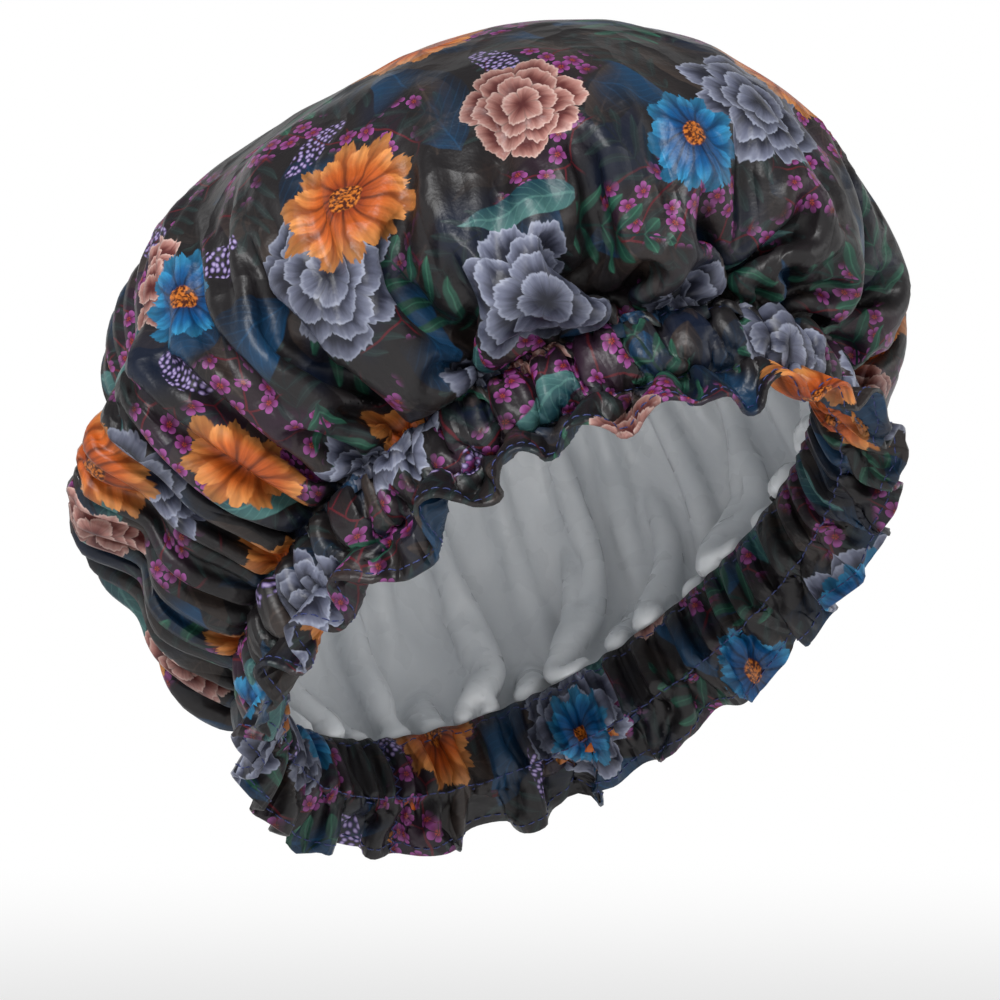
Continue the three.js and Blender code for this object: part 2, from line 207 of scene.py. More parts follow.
class Cloth:
    """Rest lengths of a ring-shaped sheet: across each row, from row to row, and how free each row is."""

    def __init__(self, across, along, free, slack, bend, columns, spread=SPREAD):
        self.across = across[:, None, None]
        self.along = along[:, None, None]
        self.slant = np.hypot((across[1:] + across[:-1]) / 2, along)[:, None, None]
        self.free = np.broadcast_to(free[:, None, None], (len(across), columns, 1)).copy()
        self.slack = slack[:, None, None]
        self.bend = np.broadcast_to(bend, across.shape)[:, None, None]
        self.spread = np.broadcast_to(spread, across.shape)[:, None, None]

    def hold_rows(self, grid):
        for shift in (0, 1):
            moved, free = turned(grid, -shift), turned(self.free, -shift)
            a, b = pull(moved[:, 0::2], moved[:, 1::2], free[:, 0::2], free[:, 1::2],
                        self.across, STRETCH_FIRM, SQUEEZE_FIRM, self.slack)
            moved[:, 0::2] += a
            moved[:, 1::2] += b
            grid = turned(moved, shift)
        return grid

    def hold_columns(self, grid):
        for first in (0, 1):
            upper, lower, rest = self.pairs(first, self.along)
            a, b = pull(grid[upper], grid[lower], self.free[upper], self.free[lower],
                        rest, STRETCH_FIRM, SQUEEZE_FIRM, self.spread[upper])
            grid[upper] += a
            grid[lower] += b
        return grid

    def hold_slants(self, grid):
        for side in (1, -1):
            for first in (0, 1):
                upper, lower, rest = self.pairs(first, self.slant)
                a, b = pull(grid[upper], turned(grid[lower], -side), self.free[upper],
                            turned(self.free[lower], -side), rest, stretch=SLANT_FIRM)
                grid[upper] += a
                grid[lower] += turned(b, side)
        return grid

    def pairs(self, first, rest):
        """Rows two by two from the first on, with their rest lengths."""
        pair_count = (len(self.across) - first) // 2
        last = first + 2 * pair_count
        return slice(first, last, 2), slice(first + 1, last, 2), rest[first:last:2][:pair_count]

    def stiffen(self, grid):
        """Pushes points two steps apart away from each other, so that the cloth bends in round folds."""
        rows, columns, _ = grid.shape
        for shift in (0, 2):
            moved = turned(grid, -shift).reshape(rows, columns // 4, 4, 3)
            free = turned(self.free, -shift).reshape(rows, columns // 4, 4, 1)
            a, b = pull(moved[:, :, 0:2], moved[:, :, 2:4], free[:, :, 0:2], free[:, :, 2:4],
                        2 * self.across[:, :, None], squeeze=self.bend[:, :, None],
                        slack=self.spread[:, :, None])
            moved[:, :, 0:2] += a
            moved[:, :, 2:4] += b
            grid = turned(moved.reshape(rows, columns, 3), shift)
        two_steps = self.along[:-1] + self.along[1:]
        for first in range(4):
            near, far = slice(first, -2, 4), slice(first + 2, None, 4)
            a, b = pull(grid[near], grid[far], self.free[near], self.free[far], two_steps[first::4],
                        squeeze=self.bend[near], slack=self.spread[near])
            grid[near] += a
            grid[far] += b
        return grid

    def part_folds(self, grid, gap):
        """Keeps the two sides of a fold from passing through each other along a row."""
        for reach in FOLD_REACHES:
            a, b = pull(grid, turned(grid, -reach), self.free, turned(self.free, -reach), gap,
                        squeeze=FOLD_FIRM)
            grid = grid + a + turned(b, reach)
        return grid

    def settle(self, grid, steps, passes, push, keep_clear, fold_gap):
        """Lets the sheet move under push(grid), with its lengths held and clear of what it covers."""
        before = grid.copy()
        for _ in range(steps):
            drift = (grid - before) * DAMPING
            before = grid.copy()
            grid = grid + self.free * (drift + push(grid))
            for _ in range(passes):
                grid = self.hold_rows(grid)
                grid = self.hold_columns(grid)
                grid = self.hold_slants(grid)
                grid = self.stiffen(grid)
                if fold_gap:
                    grid = self.part_folds(grid, fold_gap)
                grid = keep_clear(grid, self.free)
        return grid


def waves(columns, counts, rng):
    """Smooth noise round the loop, made of a few waves."""
    angle = around(columns) * 2 * np.pi
    parts = [rng.normal() * np.cos(k * angle) + rng.normal() * np.sin(k * angle) for k in counts]
    return np.sum(parts, axis=0) / math.sqrt(len(parts))


def finer_columns(grid):
    """Twice the columns, by cubic midpoints."""
    middle = (9 * (grid + turned(grid, -1)) - turned(grid, 1) - turned(grid, -2)) / 16
    return np.stack([grid, middle], 2).reshape(grid.shape[0], -1, 3)


def finer_rows(grid, rows):
    """The same sheet with another number of rows, by cubic curves along the columns."""
    place = np.linspace(0, len(grid) - 1, rows)
    start = np.clip(place.astype(int), 0, len(grid) - 2)
    t = (place - start)[:, None, None]
    padded = np.concatenate([2 * grid[:1] - grid[1:2], grid, 2 * grid[-1:] - grid[-2:-1]])
    a, b, c, d = (padded[start + k] for k in range(4))
    return b + 0.5 * t * (c - a + t * (2 * a - 5 * b + 4 * c - d + t * (3 * (b - c) + d - a)))


def evened(values, passes):
    """Numbers on a grid, each brought nearer to its neighbours'."""
    for _ in range(passes):
        values = (values + np.roll(values, 1, axis=1) + np.roll(values, -1, axis=1)) / 3
        padded = np.concatenate([values[:1], values, values[-1:]])
        values = (padded[:-2] + values + padded[2:]) / 3
    return values


# Creases of a light cloth: hollow facets round scattered seeds, which meet in ridges

CREASE_SEED = 9
CREASE_ROUNDING = 0.12
DRIFT_WAVES = 4
FAINT = 1e-12
ROOM_START = 0.2
ROOM_MOST = 16.0
ROOM_SHARE = 0.3


def drifted(places, size, amount, rng):
    """Flat places moved about by a few random waves, so that creases aren't straight."""
    moved = places.copy()
    for _ in range(DRIFT_WAVES):
        way = rng.normal(size=2)
        phase = rng.uniform(0, 2 * np.pi)
        wave = np.sin((places * way).sum(-1) * 2 * np.pi / size / np.linalg.norm(way) + phase)
        moved += wave[..., None] * rng.normal(size=2) * amount / DRIFT_WAVES
    return moved


def facets(places, seeds, spacing, loop=0.0):
    """Height of facets from 0 at their seeds upward, where the flat places may go round a loop."""
    near = np.zeros(places.shape[:-1])
    for seed in seeds:
        apart = places - seed
        if loop:
            apart[..., 0] = np.mod(apart[..., 0] + loop / 2, loop) - loop / 2
        near += np.exp(-(apart * apart).sum(-1) / (CREASE_ROUNDING * spacing ** 2))
    return -CREASE_ROUNDING * np.log(near + FAINT)


def ring_quads(rows, columns):
    """Faces with four corners between the rows of a grid whose columns go all the way round."""
    row, column = np.mgrid[0:rows - 1, 0:columns]
    here, beside = row * columns + column, row * columns + (column + 1) % columns
    return np.stack([here, beside, beside + columns, here + columns], -1).reshape(-1, 4)


def room(grid, ways):
    """How far each point of a sheet can go along its way before it meets the sheet again."""
    rows, columns = grid.shape[:2]
    tree = BVHTree.FromPolygons(grid.reshape(-1, 3).tolist(), ring_quads(rows, columns).tolist())
    rays = zip((grid + ways * ROOM_START).reshape(-1, 3).tolist(), ways.reshape(-1, 3).tolist())
    hits = [tree.ray_cast(start, way, ROOM_MOST)[3] for start, way in rays]
    return np.array([ROOM_MOST if hit is None else hit for hit in hits]).reshape(rows, columns)


# Crown: a disc of cloth gathered into the band's mouth and puffed over the dome

CROWN_SEED = 5
CROWN_PASSES = 4
LOW_STEPS = 53
HIGH_STEPS = 107

# Stages of settling: rows, columns, steps, bend, puff, weight, hold to the dome, and gap in folds
CROWN_STAGES = (
    (42, 192, 130, 0.42, 0.022, 0.030, 0.005, 0.0),
    (84, 384, 90, 0.22, 0.010, 0.014, 0.003, 1.0),
)

# By the distance from the seam: how far rows and columns may draw together, and how the dome holds them
ROW_SLACK = ((0, 12, 40, 85, 115), (0.72, 0.88, 0.985, 0.97, 0.90))
COLUMN_SLACK = ((0, 85, 115), (0.97, 0.96, 0.89))
DOME_HOLD = ((0, 70, 130), (0.3, 0.5, 1.5))

# Folds of the crown: turn at the band, turn at the upper end, length, and depth of the groove
FOLDS = (
    (0.031, 0.028, 88, 8), (0.085, 0.102, 112, 8), (0.131, 0.136, 56, 6), (0.168, 0.166, 58, 7),
    (0.205, 0.210, 86, 12), (0.258, 0.268, 94, 12), (0.296, 0.290, 58, 7), (0.338, 0.344, 90, 11),
    (0.388, 0.402, 104, 9), (0.452, 0.446, 66, 8), (0.508, 0.484, 84, 9), (0.580, 0.562, 92, 10),
    (0.634, 0.640, 76, 9), (0.682, 0.680, 62, 7), (0.720, 0.726, 92, 12), (0.780, 0.784, 86, 12),
    (0.838, 0.834, 62, 8), (0.885, 0.872, 104, 9), (0.943, 0.940, 88, 8),
)
GROOVE_WIDTH = 9.0
GROOVE_START = 12.0
GROOVE_FULLNESS = 1.3

# Short ridges at the band, drawn by lot between these limits
RIDGE_COUNT = 22
RIDGE_JITTER = 0.42
RIDGE_LEAN = 0.0004
RIDGE_WIDTHS = (5.0, 9.0)
RIDGE_WIDENING = 90.0
RIDGE_REACHES = (10.0, 26.0)
RIDGE_HEIGHTS = (1.0, 6.0)
RIDGE_START = 8.0

# Roll that sags over itself at the wearer's right, towards the back: a lobe with a crease above and below it
SAG_TURN = 0.175
SAG_SPREAD = 0.08
SAG_DEPTH = 63.0
SAG_WIDTH = 10.0
SAG_CREASES = ((19.0, 1.0), (-20.0, 1.1))
SAG_SWING = 18.0
SAG_HOLD = 24.0

# Rounded section of the band that the crown stays clear of
BAND_MIDDLE = 2.0
BAND_HALF_DEPTH = 10.0
BAND_HALF_HEIGHT = 12.0
BAND_REACH = 16.0
NEAREST = 0.2

# Large and small creases, as spacing and height, and the calmer middle of the crown
CREASED_ROWS = 112
CROWN_CREASES = ((46.0, 5.0), (21.0, 1.6))
EVEN_PASSES = 60
LIFT_PASSES = 2
APEX_CALM = 60.0
APEX_CALM_SHARE = 1.5
APEX_PASSES = 12
APEX_DRAWN = 18.0


def meridians(turn):
    """Points up the smooth dome, from the mouth of the band round the bulge to the apex, at each turn."""
    mouth = on_loop(turn, SEAM_OUT, MOUTH_LEVEL)
    edge = on_loop(turn, 0.0, 0.0)
    across, along = edge[:, 0] / LOOP_HALF_WIDTH, edge[:, 1] / LOOP_HALF_LENGTH
    overhang = OVERHANG_FRONT + (OVERHANG_BACK - OVERHANG_FRONT) * (along + 1) / 2
    bulge = np.stack([across * (LOOP_HALF_WIDTH + OVERHANG_SIDE), along * (LOOP_HALF_LENGTH + overhang),
                      BULGE_LEVEL - BULGE_FRONT_LIFT * along], -1)
    leave, meet = mouth + [0, 0, SEAM_PULL], bulge - [0, 0, BULGE_PULL]
    k = np.linspace(0, 1, LOW_STEPS, endpoint=False)[:, None, None]
    low = (1 - k) ** 3 * mouth + 3 * k * (1 - k) ** 2 * leave + 3 * k ** 2 * (1 - k) * meet + k ** 3 * bulge
    climb = np.linspace(0, np.pi / 2, HIGH_STEPS)[:, None, None]
    apex = np.array([0.0, -APEX_FORWARD, 0.0])
    high = apex + (bulge * [1, 1, 0] - apex) * np.cos(climb) ** CROWN_FULLNESS
    high[..., 2:] = bulge[:, 2:] + (CROWN_HEIGHT - bulge[:, 2:]) * np.sin(climb)
    return np.concatenate([low, high])


def disc_radii(rows):
    return np.linspace(DISC_RADIUS, DISC_RADIUS / rows / 2, rows)


def seam_distance(rows):
    """Distance of each row from the seam on the flat disc."""
    return DISC_RADIUS - disc_radii(rows)


def dome(rows, columns):
    """The disc's rows laid up the smooth dome, each at its share of the way to the apex."""
    lines = meridians(around(columns))
    run = run_along(lines)
    share = 1 - disc_radii(rows) / DISC_RADIUS
    grid = np.empty((rows, columns, 3))
    for column in range(columns):
        for axis in range(3):
            grid[:, column, axis] = np.interp(share * run[-1, column], run[:, column], lines[:, column, axis])
    return grid


def crown_cloth(rows, columns, bend):
    radii = disc_radii(rows)
    free = np.ones(rows)
    free[0] = 0.0
    slack = np.interp(seam_distance(rows), *ROW_SLACK)
    spread = np.interp(seam_distance(rows), *COLUMN_SLACK)
    return Cloth(2 * radii * math.sin(math.pi / columns), -np.diff(radii), free, slack, bend, columns, spread)


def crown_folds(rows, columns, rng):
    """Where the gathered cloth starts to fold: long grooves, and short ridges at the band."""
    depth = seam_distance(rows)[:, None]
    turn = around(columns)[None]
    lift = np.zeros((rows, columns))
    for foot, head, reach, groove in FOLDS:
        middle = foot + (head - foot) * depth / reach
        rise = np.clip(depth / GROOVE_START, 0, 1) * np.clip(GROOVE_FULLNESS * (1 - depth / reach), 0, 1)
        lift -= groove * rise * hump(nearest_turn(turn, middle) * LOOP_LENGTH, GROOVE_WIDTH)
    for k in range(RIDGE_COUNT):
        start = (k + rng.uniform(-RIDGE_JITTER, RIDGE_JITTER)) / RIDGE_COUNT
        middle = start + rng.normal(0, RIDGE_LEAN) * depth
        width = rng.uniform(*RIDGE_WIDTHS) * (1 + depth / RIDGE_WIDENING)
        reach = rng.uniform(*RIDGE_REACHES)
        rise = np.clip(depth / RIDGE_START, 0, 1) * hump(depth, reach)
        height = rng.uniform(*RIDGE_HEIGHTS)
        lift += height * rise * hump(nearest_turn(turn, middle) * LOOP_LENGTH, width)
    return lift - lift.mean(axis=1, keepdims=True)


def sag_share(turn):
    """1 in the middle of the sagging roll, fading to 0 round the loop from it."""
    return hump(nearest_turn(turn, SAG_TURN), SAG_SPREAD)


def sag(depth, turn):
    """How far the sagging roll stands out of the dome, or is creased into it."""
    roll = hump(depth - SAG_DEPTH, SAG_WIDTH)
    for apart, share in SAG_CREASES:
        roll = roll - share * hump(depth - SAG_DEPTH - apart, SAG_WIDTH)
    return SAG_SWING * sag_share(turn) * roll


def worn_dome(rows, columns):
    """The smooth dome with its sagging roll."""
    grid = dome(rows, columns)
    return grid + normals(grid) * sag(seam_distance(rows)[:, None], around(columns)[None])[..., None]


def clear_of_band(grid, free):
    """Keeps the crown outside the rounded top and face of the band."""
    out, way = out_of_loop(grid)
    level = grid[..., 2]
    apart = np.hypot((out - BAND_MIDDLE) / BAND_HALF_DEPTH, (level - BAND_MIDDLE) / BAND_HALF_HEIGHT)
    inside = (level < BAND_REACH) * (apart < 1) * free[..., 0]
    push = np.maximum(1.0 / np.maximum(apart, NEAREST) - 1.0, 0.0) * inside
    grid[..., :2] += way * ((out - BAND_MIDDLE) * push)[..., None]
    grid[..., 2] += (level - BAND_MIDDLE) * push
    return grid


def calmed(grid):
    """The crown with its ripples calmed towards the apex."""
    calm = np.clip(APEX_CALM_SHARE - disc_radii(len(grid)) / APEX_CALM, 0, 1)[:, None, None]
    return grid + (evened(grid, APEX_PASSES) - grid) * calm


def drawn_middle(grid):
    """The crown with its middle drawn smooth from the ring round it."""
    radii = disc_radii(len(grid))
    first = np.argmax(radii < APEX_DRAWN)
    ring = evened(grid[first:first + 1], EVEN_PASSES)
    centre = ring[0].mean(0)
    up = unit(normals(grid)[first].mean(0))
    slope = (centre - grid[first - 1].mean(0)) @ up / (radii[first - 1] - radii[first])
    drawn = radii[first:, None, None]
    rise = slope * (radii[first] ** 2 - drawn ** 2) / (2 * radii[first])
    grid[first:] = centre + (ring - centre) * drawn / radii[first] + up * rise
    return grid


def creased_crown(grid):
    """The settled crown on a finer grid, with large and small creases that fade at the seam."""
    rng = np.random.default_rng(CREASE_SEED)
    grid = calmed(finer_rows(finer_columns(grid), CREASED_ROWS))
    radii = disc_radii(len(grid))[:, None]
    flat = polar(radii, around(grid.shape[1])[None] * 2 * np.pi)
    lift = np.zeros(grid.shape[:2])
    for spacing, height in CROWN_CREASES:
        seed_count = round(math.pi * (DISC_RADIUS / spacing) ** 2)
        reach = DISC_RADIUS * np.sqrt(rng.uniform(0, 1, seed_count))
        seeds = polar(reach, rng.uniform(0, 2 * np.pi, seed_count))
        lift += height * facets(drifted(flat, 2 * spacing, spacing, rng), seeds, spacing)
    lift = (lift - lift.mean()) * np.clip((DISC_RADIUS - radii) / GROOVE_START, 0, 1)
    out = unit(evened(normals(grid), EVEN_PASSES))
    inner_room, outer_room = (ROOM_SHARE * evened(room(grid, way), LIFT_PASSES) for way in (-out, out))
    lift = evened(np.clip(lift, -inner_room, outer_room), LIFT_PASSES)
    return drawn_middle(grid + out * lift[..., None])


def settled_crown():
    """The disc folded onto the dome, settled coarse and then fine, and creased."""
    rng = np.random.default_rng(CROWN_SEED)
    grid = None
    for rows, columns, steps, bend, puff, weight, hold, gap in CROWN_STAGES:
        guide = worn_dome(rows, columns)
        if grid is None:
            grid = guide + normals(guide) * crown_folds(rows, columns, rng)[..., None]
        else:
            grid = finer_rows(finer_columns(grid), rows)
        grid[0] = guide[0]
        rolled = sag_share(around(columns))[None, :, None]
        firm = hold * (np.interp(seam_distance(rows)[:, None, None], *DOME_HOLD) + SAG_HOLD * rolled)

        def push(points):
            return normals(points) * puff + DOWN * weight + (guide - points) * firm

        grid = crown_cloth(rows, columns, bend).settle(grid, steps, CROWN_PASSES, push, clear_of_band, gap)
    return creased_crown(grid)


# Band: a strip gathered on two rows of stitches, puffed between them, with a free ruffle below

BAND_SEED = 11
BAND_COLUMNS = 576
BAND_PASSES = 3
TOP_ROWS, CHANNEL_ROWS, RUFFLE_ROWS = 2, 14, 12
UPPER_STITCH = TOP_ROWS
LOWER_STITCH = TOP_ROWS + CHANNEL_ROWS
HEM_STITCH_ROWS = 2
FOLD_GAP = 0.8

# Stages of settling: columns, bend of the channel and of the ruffle, steps, and gap in folds
BAND_STAGES = ((BAND_COLUMNS // 2, 0.30, 0.75, 120, 0.0), (BAND_COLUMNS, 0.28, 0.40, 45, FOLD_GAP))

# Waves round the band: their number, and how far their pitch and their height wander
PLEATS = (46, 2.2, 0.45)
LOBES = (23, 1.5, 0.3)
INNER_PLEATS = (64, 2.0, 0.5)
PITCH_WAVES = range(2, 12)
HEIGHT_WAVES = range(3, 24)

# Outer ply as it starts: how far it stands out of the loop, bows between its stitches, and waves
TOP_OUT = 3.7
TOP_LEAN = 2.3
TOP_RISE = 0.15
CHANNEL_BOW = 4.2
BOW_FULLNESS = 0.7
STITCHED_PLEAT = 0.7
CHANNEL_PLEAT = 1.9
RUFFLE_OUT = 1.4
RUFFLE_FLARE = 3.4
RUFFLE_LOBE = 7.0

# Outer ply as it settles: how far out it must stay, what puffs it, and how far its rows may draw together
CHANNEL_LEAST = 2.7
RUFFLE_LEAST = (1.0, -2.0)
CHANNEL_PUFF = 0.020
RUFFLE_PUFF = 0.002
BAND_WEIGHT = 0.006
CHANNEL_SLACK = 0.84
RUFFLE_SLACK = 0.97
LAP_ROOM = 2.8
LAP_SPREAD = 0.05

# Creases across the outer ply
BAND_CREASE_SPACING = 9.0
BAND_CREASE_RUN = 0.45
BAND_CREASE_HEIGHT = 2.0
BAND_CREASE_FADE = 3.0

# Inner ply of the channel, against the head
INNER_ROWS = 13
INNER_OUT = -0.9
INNER_BOW = 1.2
INNER_STITCHED_PLEAT = 0.5
INNER_PLEAT = 1.1
INNER_EASE = 1.05
INNER_SLACK = 0.8
INNER_BEND = 0.3
INNER_LIMITS = (-6.0, 0.5)
INNER_WEIGHT = 0.003
INNER_STEPS = 60

# Rows of the edge that is turned under at the top: shares of the gap between plies and of the turned width
TUCKS = ((1.0, 1.0), (1.0, 0.5), (0.8, 0.1))
TUCKED_ROWS = len(TUCKS)


def strip_rows():
    """Distances down the strip from its top edge."""
    top = np.linspace(0, TOP_CLOTH, TOP_ROWS + 1)
    channel = TOP_CLOTH + np.linspace(0, CHANNEL_CLOTH, CHANNEL_ROWS + 1)[1:]
    ruffle = TOP_CLOTH + CHANNEL_CLOTH + np.linspace(0, RUFFLE_CLOTH, RUFFLE_ROWS + 1)[1:]
    return np.concatenate([top, channel, ruffle])


def uneven_wave(columns, number, jitter, swing, rng):
    """A wave round the loop whose pitch and height wander."""
    phase = 2 * np.pi * number * around(columns) + jitter * waves(columns, PITCH_WAVES, rng)
    return np.cos(phase) * (1 + swing * waves(columns, HEIGHT_WAVES, rng))


def started_band(columns, rng):
    """The outer ply laid round the loop in loose waves."""
    rows = strip_rows()
    turn = around(columns)
    pleat = uneven_wave(columns, *PLEATS, rng)
    lobe = uneven_wave(columns, *LOBES, rng)
    grid = np.empty((len(rows), columns, 3))
    for i, run in enumerate(rows):
        if i <= LOWER_STITCH:
            k = (run - rows[UPPER_STITCH]) / CHANNEL_CLOTH
            bow = math.sin(math.pi * np.clip(k, 0, 1))
            level = UPPER_ROW + (LOWER_ROW - UPPER_ROW) * max(k, -TOP_RISE)
            base = TOP_OUT - TOP_LEAN * np.clip(k, 0, 1)
            out = base + CHANNEL_BOW * bow ** BOW_FULLNESS + (STITCHED_PLEAT + CHANNEL_PLEAT * bow) * pleat
        else:
            k = (run - rows[LOWER_STITCH]) / RUFFLE_CLOTH
            level = LOWER_ROW + (HEM - LOWER_ROW) * k
            out = RUFFLE_OUT + RUFFLE_FLARE * k + STITCHED_PLEAT * (1 - k) * pleat + RUFFLE_LOBE * k * lobe
        grid[i] = on_loop(turn, out, level)
    return grid


def band_cloth(rows, columns, channel_bend, ruffle_bend):
    order = np.arange(len(rows))
    free = np.ones(len(rows))
    free[[UPPER_STITCH, LOWER_STITCH]] = 0.0
    slack = np.where(order > LOWER_STITCH + 1, RUFFLE_SLACK, CHANNEL_SLACK)
    bend = np.where(order > LOWER_STITCH, ruffle_bend, channel_bend)
    return Cloth(np.full(len(rows), STRIP_LENGTH / columns), np.diff(rows), free, slack, bend, columns)


def creased_band(grid):
    """The settled outer ply with creases across the strip, which fade at the two sewn rows."""
    rng = np.random.default_rng(CREASE_SEED)
    rows = strip_rows()
    runs = np.broadcast_arrays(around(BAND_COLUMNS)[None] * STRIP_LENGTH, rows[:, None] * BAND_CREASE_RUN)
    width = rows[-1] * BAND_CREASE_RUN
    seed_count = round(STRIP_LENGTH * width / BAND_CREASE_SPACING ** 2)
    seeds = rng.uniform(0, 1, (seed_count, 2)) * [STRIP_LENGTH, width]
    lift = facets(np.stack(runs, -1), seeds, BAND_CREASE_SPACING, STRIP_LENGTH)
    apart = np.minimum(np.abs(rows - rows[UPPER_STITCH]), np.abs(rows - rows[LOWER_STITCH]))
    fade = np.clip(apart / BAND_CREASE_FADE, 0, 1)[:, None]
    return grid - normals(grid) * (BAND_CREASE_HEIGHT * (lift - lift.min()) * fade)[..., None]


def settled_band():
    """Outer ply of the band, settled over the elastic with its ruffle hanging free."""
    rng = np.random.default_rng(BAND_SEED)
    rows = strip_rows()
    order = np.arange(len(rows))
    ruffle_least = np.interp(order, [LOWER_STITCH, len(rows) - 1], RUFFLE_LEAST)
    least = np.where(order < LOWER_STITCH, CHANNEL_LEAST, ruffle_least)[:, None]
    puff = np.where(order < LOWER_STITCH, CHANNEL_PUFF, RUFFLE_PUFF)[:, None, None]
    bow = np.sin(np.pi * np.clip((order - UPPER_STITCH) / CHANNEL_ROWS, 0, 1))[:, None]

    def push(points):
        return DOWN * BAND_WEIGHT - normals(points) * puff

    def clear_of_elastic(points, free):
        lap = hump(nearest_turn(around(points.shape[1]), 0.0), LAP_SPREAD)
        out, way = out_of_loop(points)
        short = np.maximum(least + LAP_ROOM * bow * lap - out, 0.0)
        points[..., :2] += way * (short * free[..., 0])[..., None]
        return points

    grid = started_band(BAND_STAGES[0][0], rng)
    for columns, channel_bend, ruffle_bend, steps, gap in BAND_STAGES:
        if grid.shape[1] < columns:
            grid = finer_columns(grid)
        cloth = band_cloth(rows, columns, channel_bend, ruffle_bend)
        grid = cloth.settle(grid, steps, BAND_PASSES, push, clear_of_elastic, gap)
    return creased_band(grid)


def settled_inner_ply():
    """Inner ply of the channel, gathered on the same two rows against the head."""
    rng = np.random.default_rng(BAND_SEED + 1)
    turn = around(BAND_COLUMNS)
    pleat = uneven_wave(BAND_COLUMNS, *INNER_PLEATS, rng)
    grid = np.empty((INNER_ROWS, BAND_COLUMNS, 3))
    for i, k in enumerate(np.linspace(0, 1, INNER_ROWS)):
        bow = math.sin(math.pi * k)
        out = INNER_OUT - INNER_BOW * bow + (INNER_STITCHED_PLEAT + INNER_PLEAT * bow) * pleat
        grid[i] = on_loop(turn, out, LOWER_ROW + (BAND_TOP - LOWER_ROW) * k)
    free = np.ones(INNER_ROWS)
    free[[0, -2, -1]] = 0.0
    across = np.full(INNER_ROWS, STRIP_LENGTH / BAND_COLUMNS)
    along = np.full(INNER_ROWS - 1, INNER_EASE * (BAND_TOP - LOWER_ROW) / (INNER_ROWS - 1))
    cloth = Cloth(across, along, free, np.full(INNER_ROWS, INNER_SLACK), INNER_BEND, BAND_COLUMNS)

    def push(points):
        return DOWN * INNER_WEIGHT

    def clear_of_elastic(points, free):
        out, way = out_of_loop(points)
        least, most = INNER_LIMITS
        excess = np.maximum(out - most, 0.0) - np.maximum(least - out, 0.0)
        points[..., :2] -= way * (excess * free[..., 0])[..., None]
        return points

    return cloth.settle(grid, INNER_STEPS, BAND_PASSES, push, clear_of_elastic, FOLD_GAP)


def band_sheet(outer, inner):
    """The whole folded strip: turned-under top, outer ply, hem, inner ruffle and inner channel ply."""
    inward = normals(outer)
    tucked = [outer[0] + inward[0] * PLY_GAP * gap - [0, 0, TURNED_UNDER * drop] for gap, drop in TUCKS]
    hem = outer[-1] + inward[-1] * PLY_GAP / 2 + DOWN * PLY_GAP / 3
    ruffle = (outer + inward * PLY_GAP)[:LOWER_STITCH:-1]
    return np.concatenate([np.array(tucked), outer, hem[None], ruffle, inner])


# Meshes

# Rows of the crown's raw edge: share of its depth, and how far out of the loop it lies
EDGE_ROWS = ((1.0, 1.8), (0.5, 1.9))
FEWEST_POINTS = 24
LEAST_SIDE = 1.3

# Map for the finished colours of a disc: middle and size of its face, its back and the rim's back
FACE_MAP = (0.42, 0.82)
BACK_MAP = (0.91, 0.15)
RIM_SIZE = 0.83

# Map for the finished colours of the strip: its face in lengths one above another, its back and its raw edges
STRIP_LENGTHS = 3
MAP_MARGIN = 0.005
LENGTH_STEP = 0.32
LENGTH_HEIGHT = 0.30
STRIP_BACK = (0.965, 0.015)
STRIP_EDGES = (0.99, 0.005)


def make_piece(name, points, faces, material, flat=None, bake=None):
    """A smooth mesh piece, with its cloth's flat places and its map for finished colours where given."""
    mesh = bpy.data.meshes.new(name)
    mesh.from_pydata(points, [], faces)
    mesh.shade_smooth()
    for map_name, values in (("flat", flat), ("OFBake", bake)):
        if values is not None:
            mesh.uv_layers.new(name=map_name).uv.foreach_set("vector", np.asarray(values, np.float32).ravel())
    mesh.materials.append(material)
    piece = bpy.data.objects.new(name, mesh)
    bpy.context.scene.collection.objects.link(piece)
    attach(piece, "root")
    return piece


def face_outward(piece):
    """Turns the faces of a closed piece to point out of it."""
    work = bmesh.new()
    work.from_mesh(piece.data)
    bmesh.ops.recalc_face_normals(work, faces=work.faces)
    work.to_mesh(piece.data)
    work.free()


def tucked_crown(grid):
    """The settled crown with its raw edge, which is caught between the plies of the band."""
    turn = around(grid.shape[1])
    edge = [on_loop(turn, out, MOUTH_LEVEL - TUCKED_EDGE * share) for share, out in EDGE_ROWS]
    return np.concatenate([np.array(edge), grid])


def tucked_radii(rows):
    """Radii of the flat disc for the rows of the tucked crown."""
    edge = [DISC_RADIUS + TUCKED_EDGE * share for share, _ in EDGE_ROWS]
    return np.concatenate([edge, disc_radii(rows - len(EDGE_ROWS))])


def ring_counts(rows, columns):
    """Points in each ring of the disc: halved towards the middle, so that faces stay square."""
    counts = []
    points = columns
    for radius in tucked_radii(rows):
        while points > FEWEST_POINTS and 2 * math.pi * radius / points < LEAST_SIDE:
            points //= 2
        counts.append(points)
    return counts


def ring_faces(counts, start):
    """Faces between rings of points, where each ring has as many points as the one before or half."""
    faces = []
    for near, far in zip(counts, counts[1:]):
        after = start + near
        for k in range(far):
            k2 = (k + 1) % far
            if near == far:
                faces.append((start + k, start + k2, after + k2, after + k))
            else:
                a, b, c = start + 2 * k, start + 2 * k + 1, start + (2 * k + 2) % near
                faces += [(a, b, after + k), (b, after + k2, after + k), (b, c, after + k2)]
        start = after
    last = counts[-1]
    faces += [(start + k, start + (k + 1) % last, start + last) for k in range(last)]
    return faces


def disc_face(grid, counts):
    """Points of one face of the disc, ring by ring and then the apex."""
    columns = grid.shape[1]
    rings = [row[::columns // points] for row, points in zip(grid, counts)]
    return np.concatenate(rings + [grid[-1].mean(0, keepdims=True)])


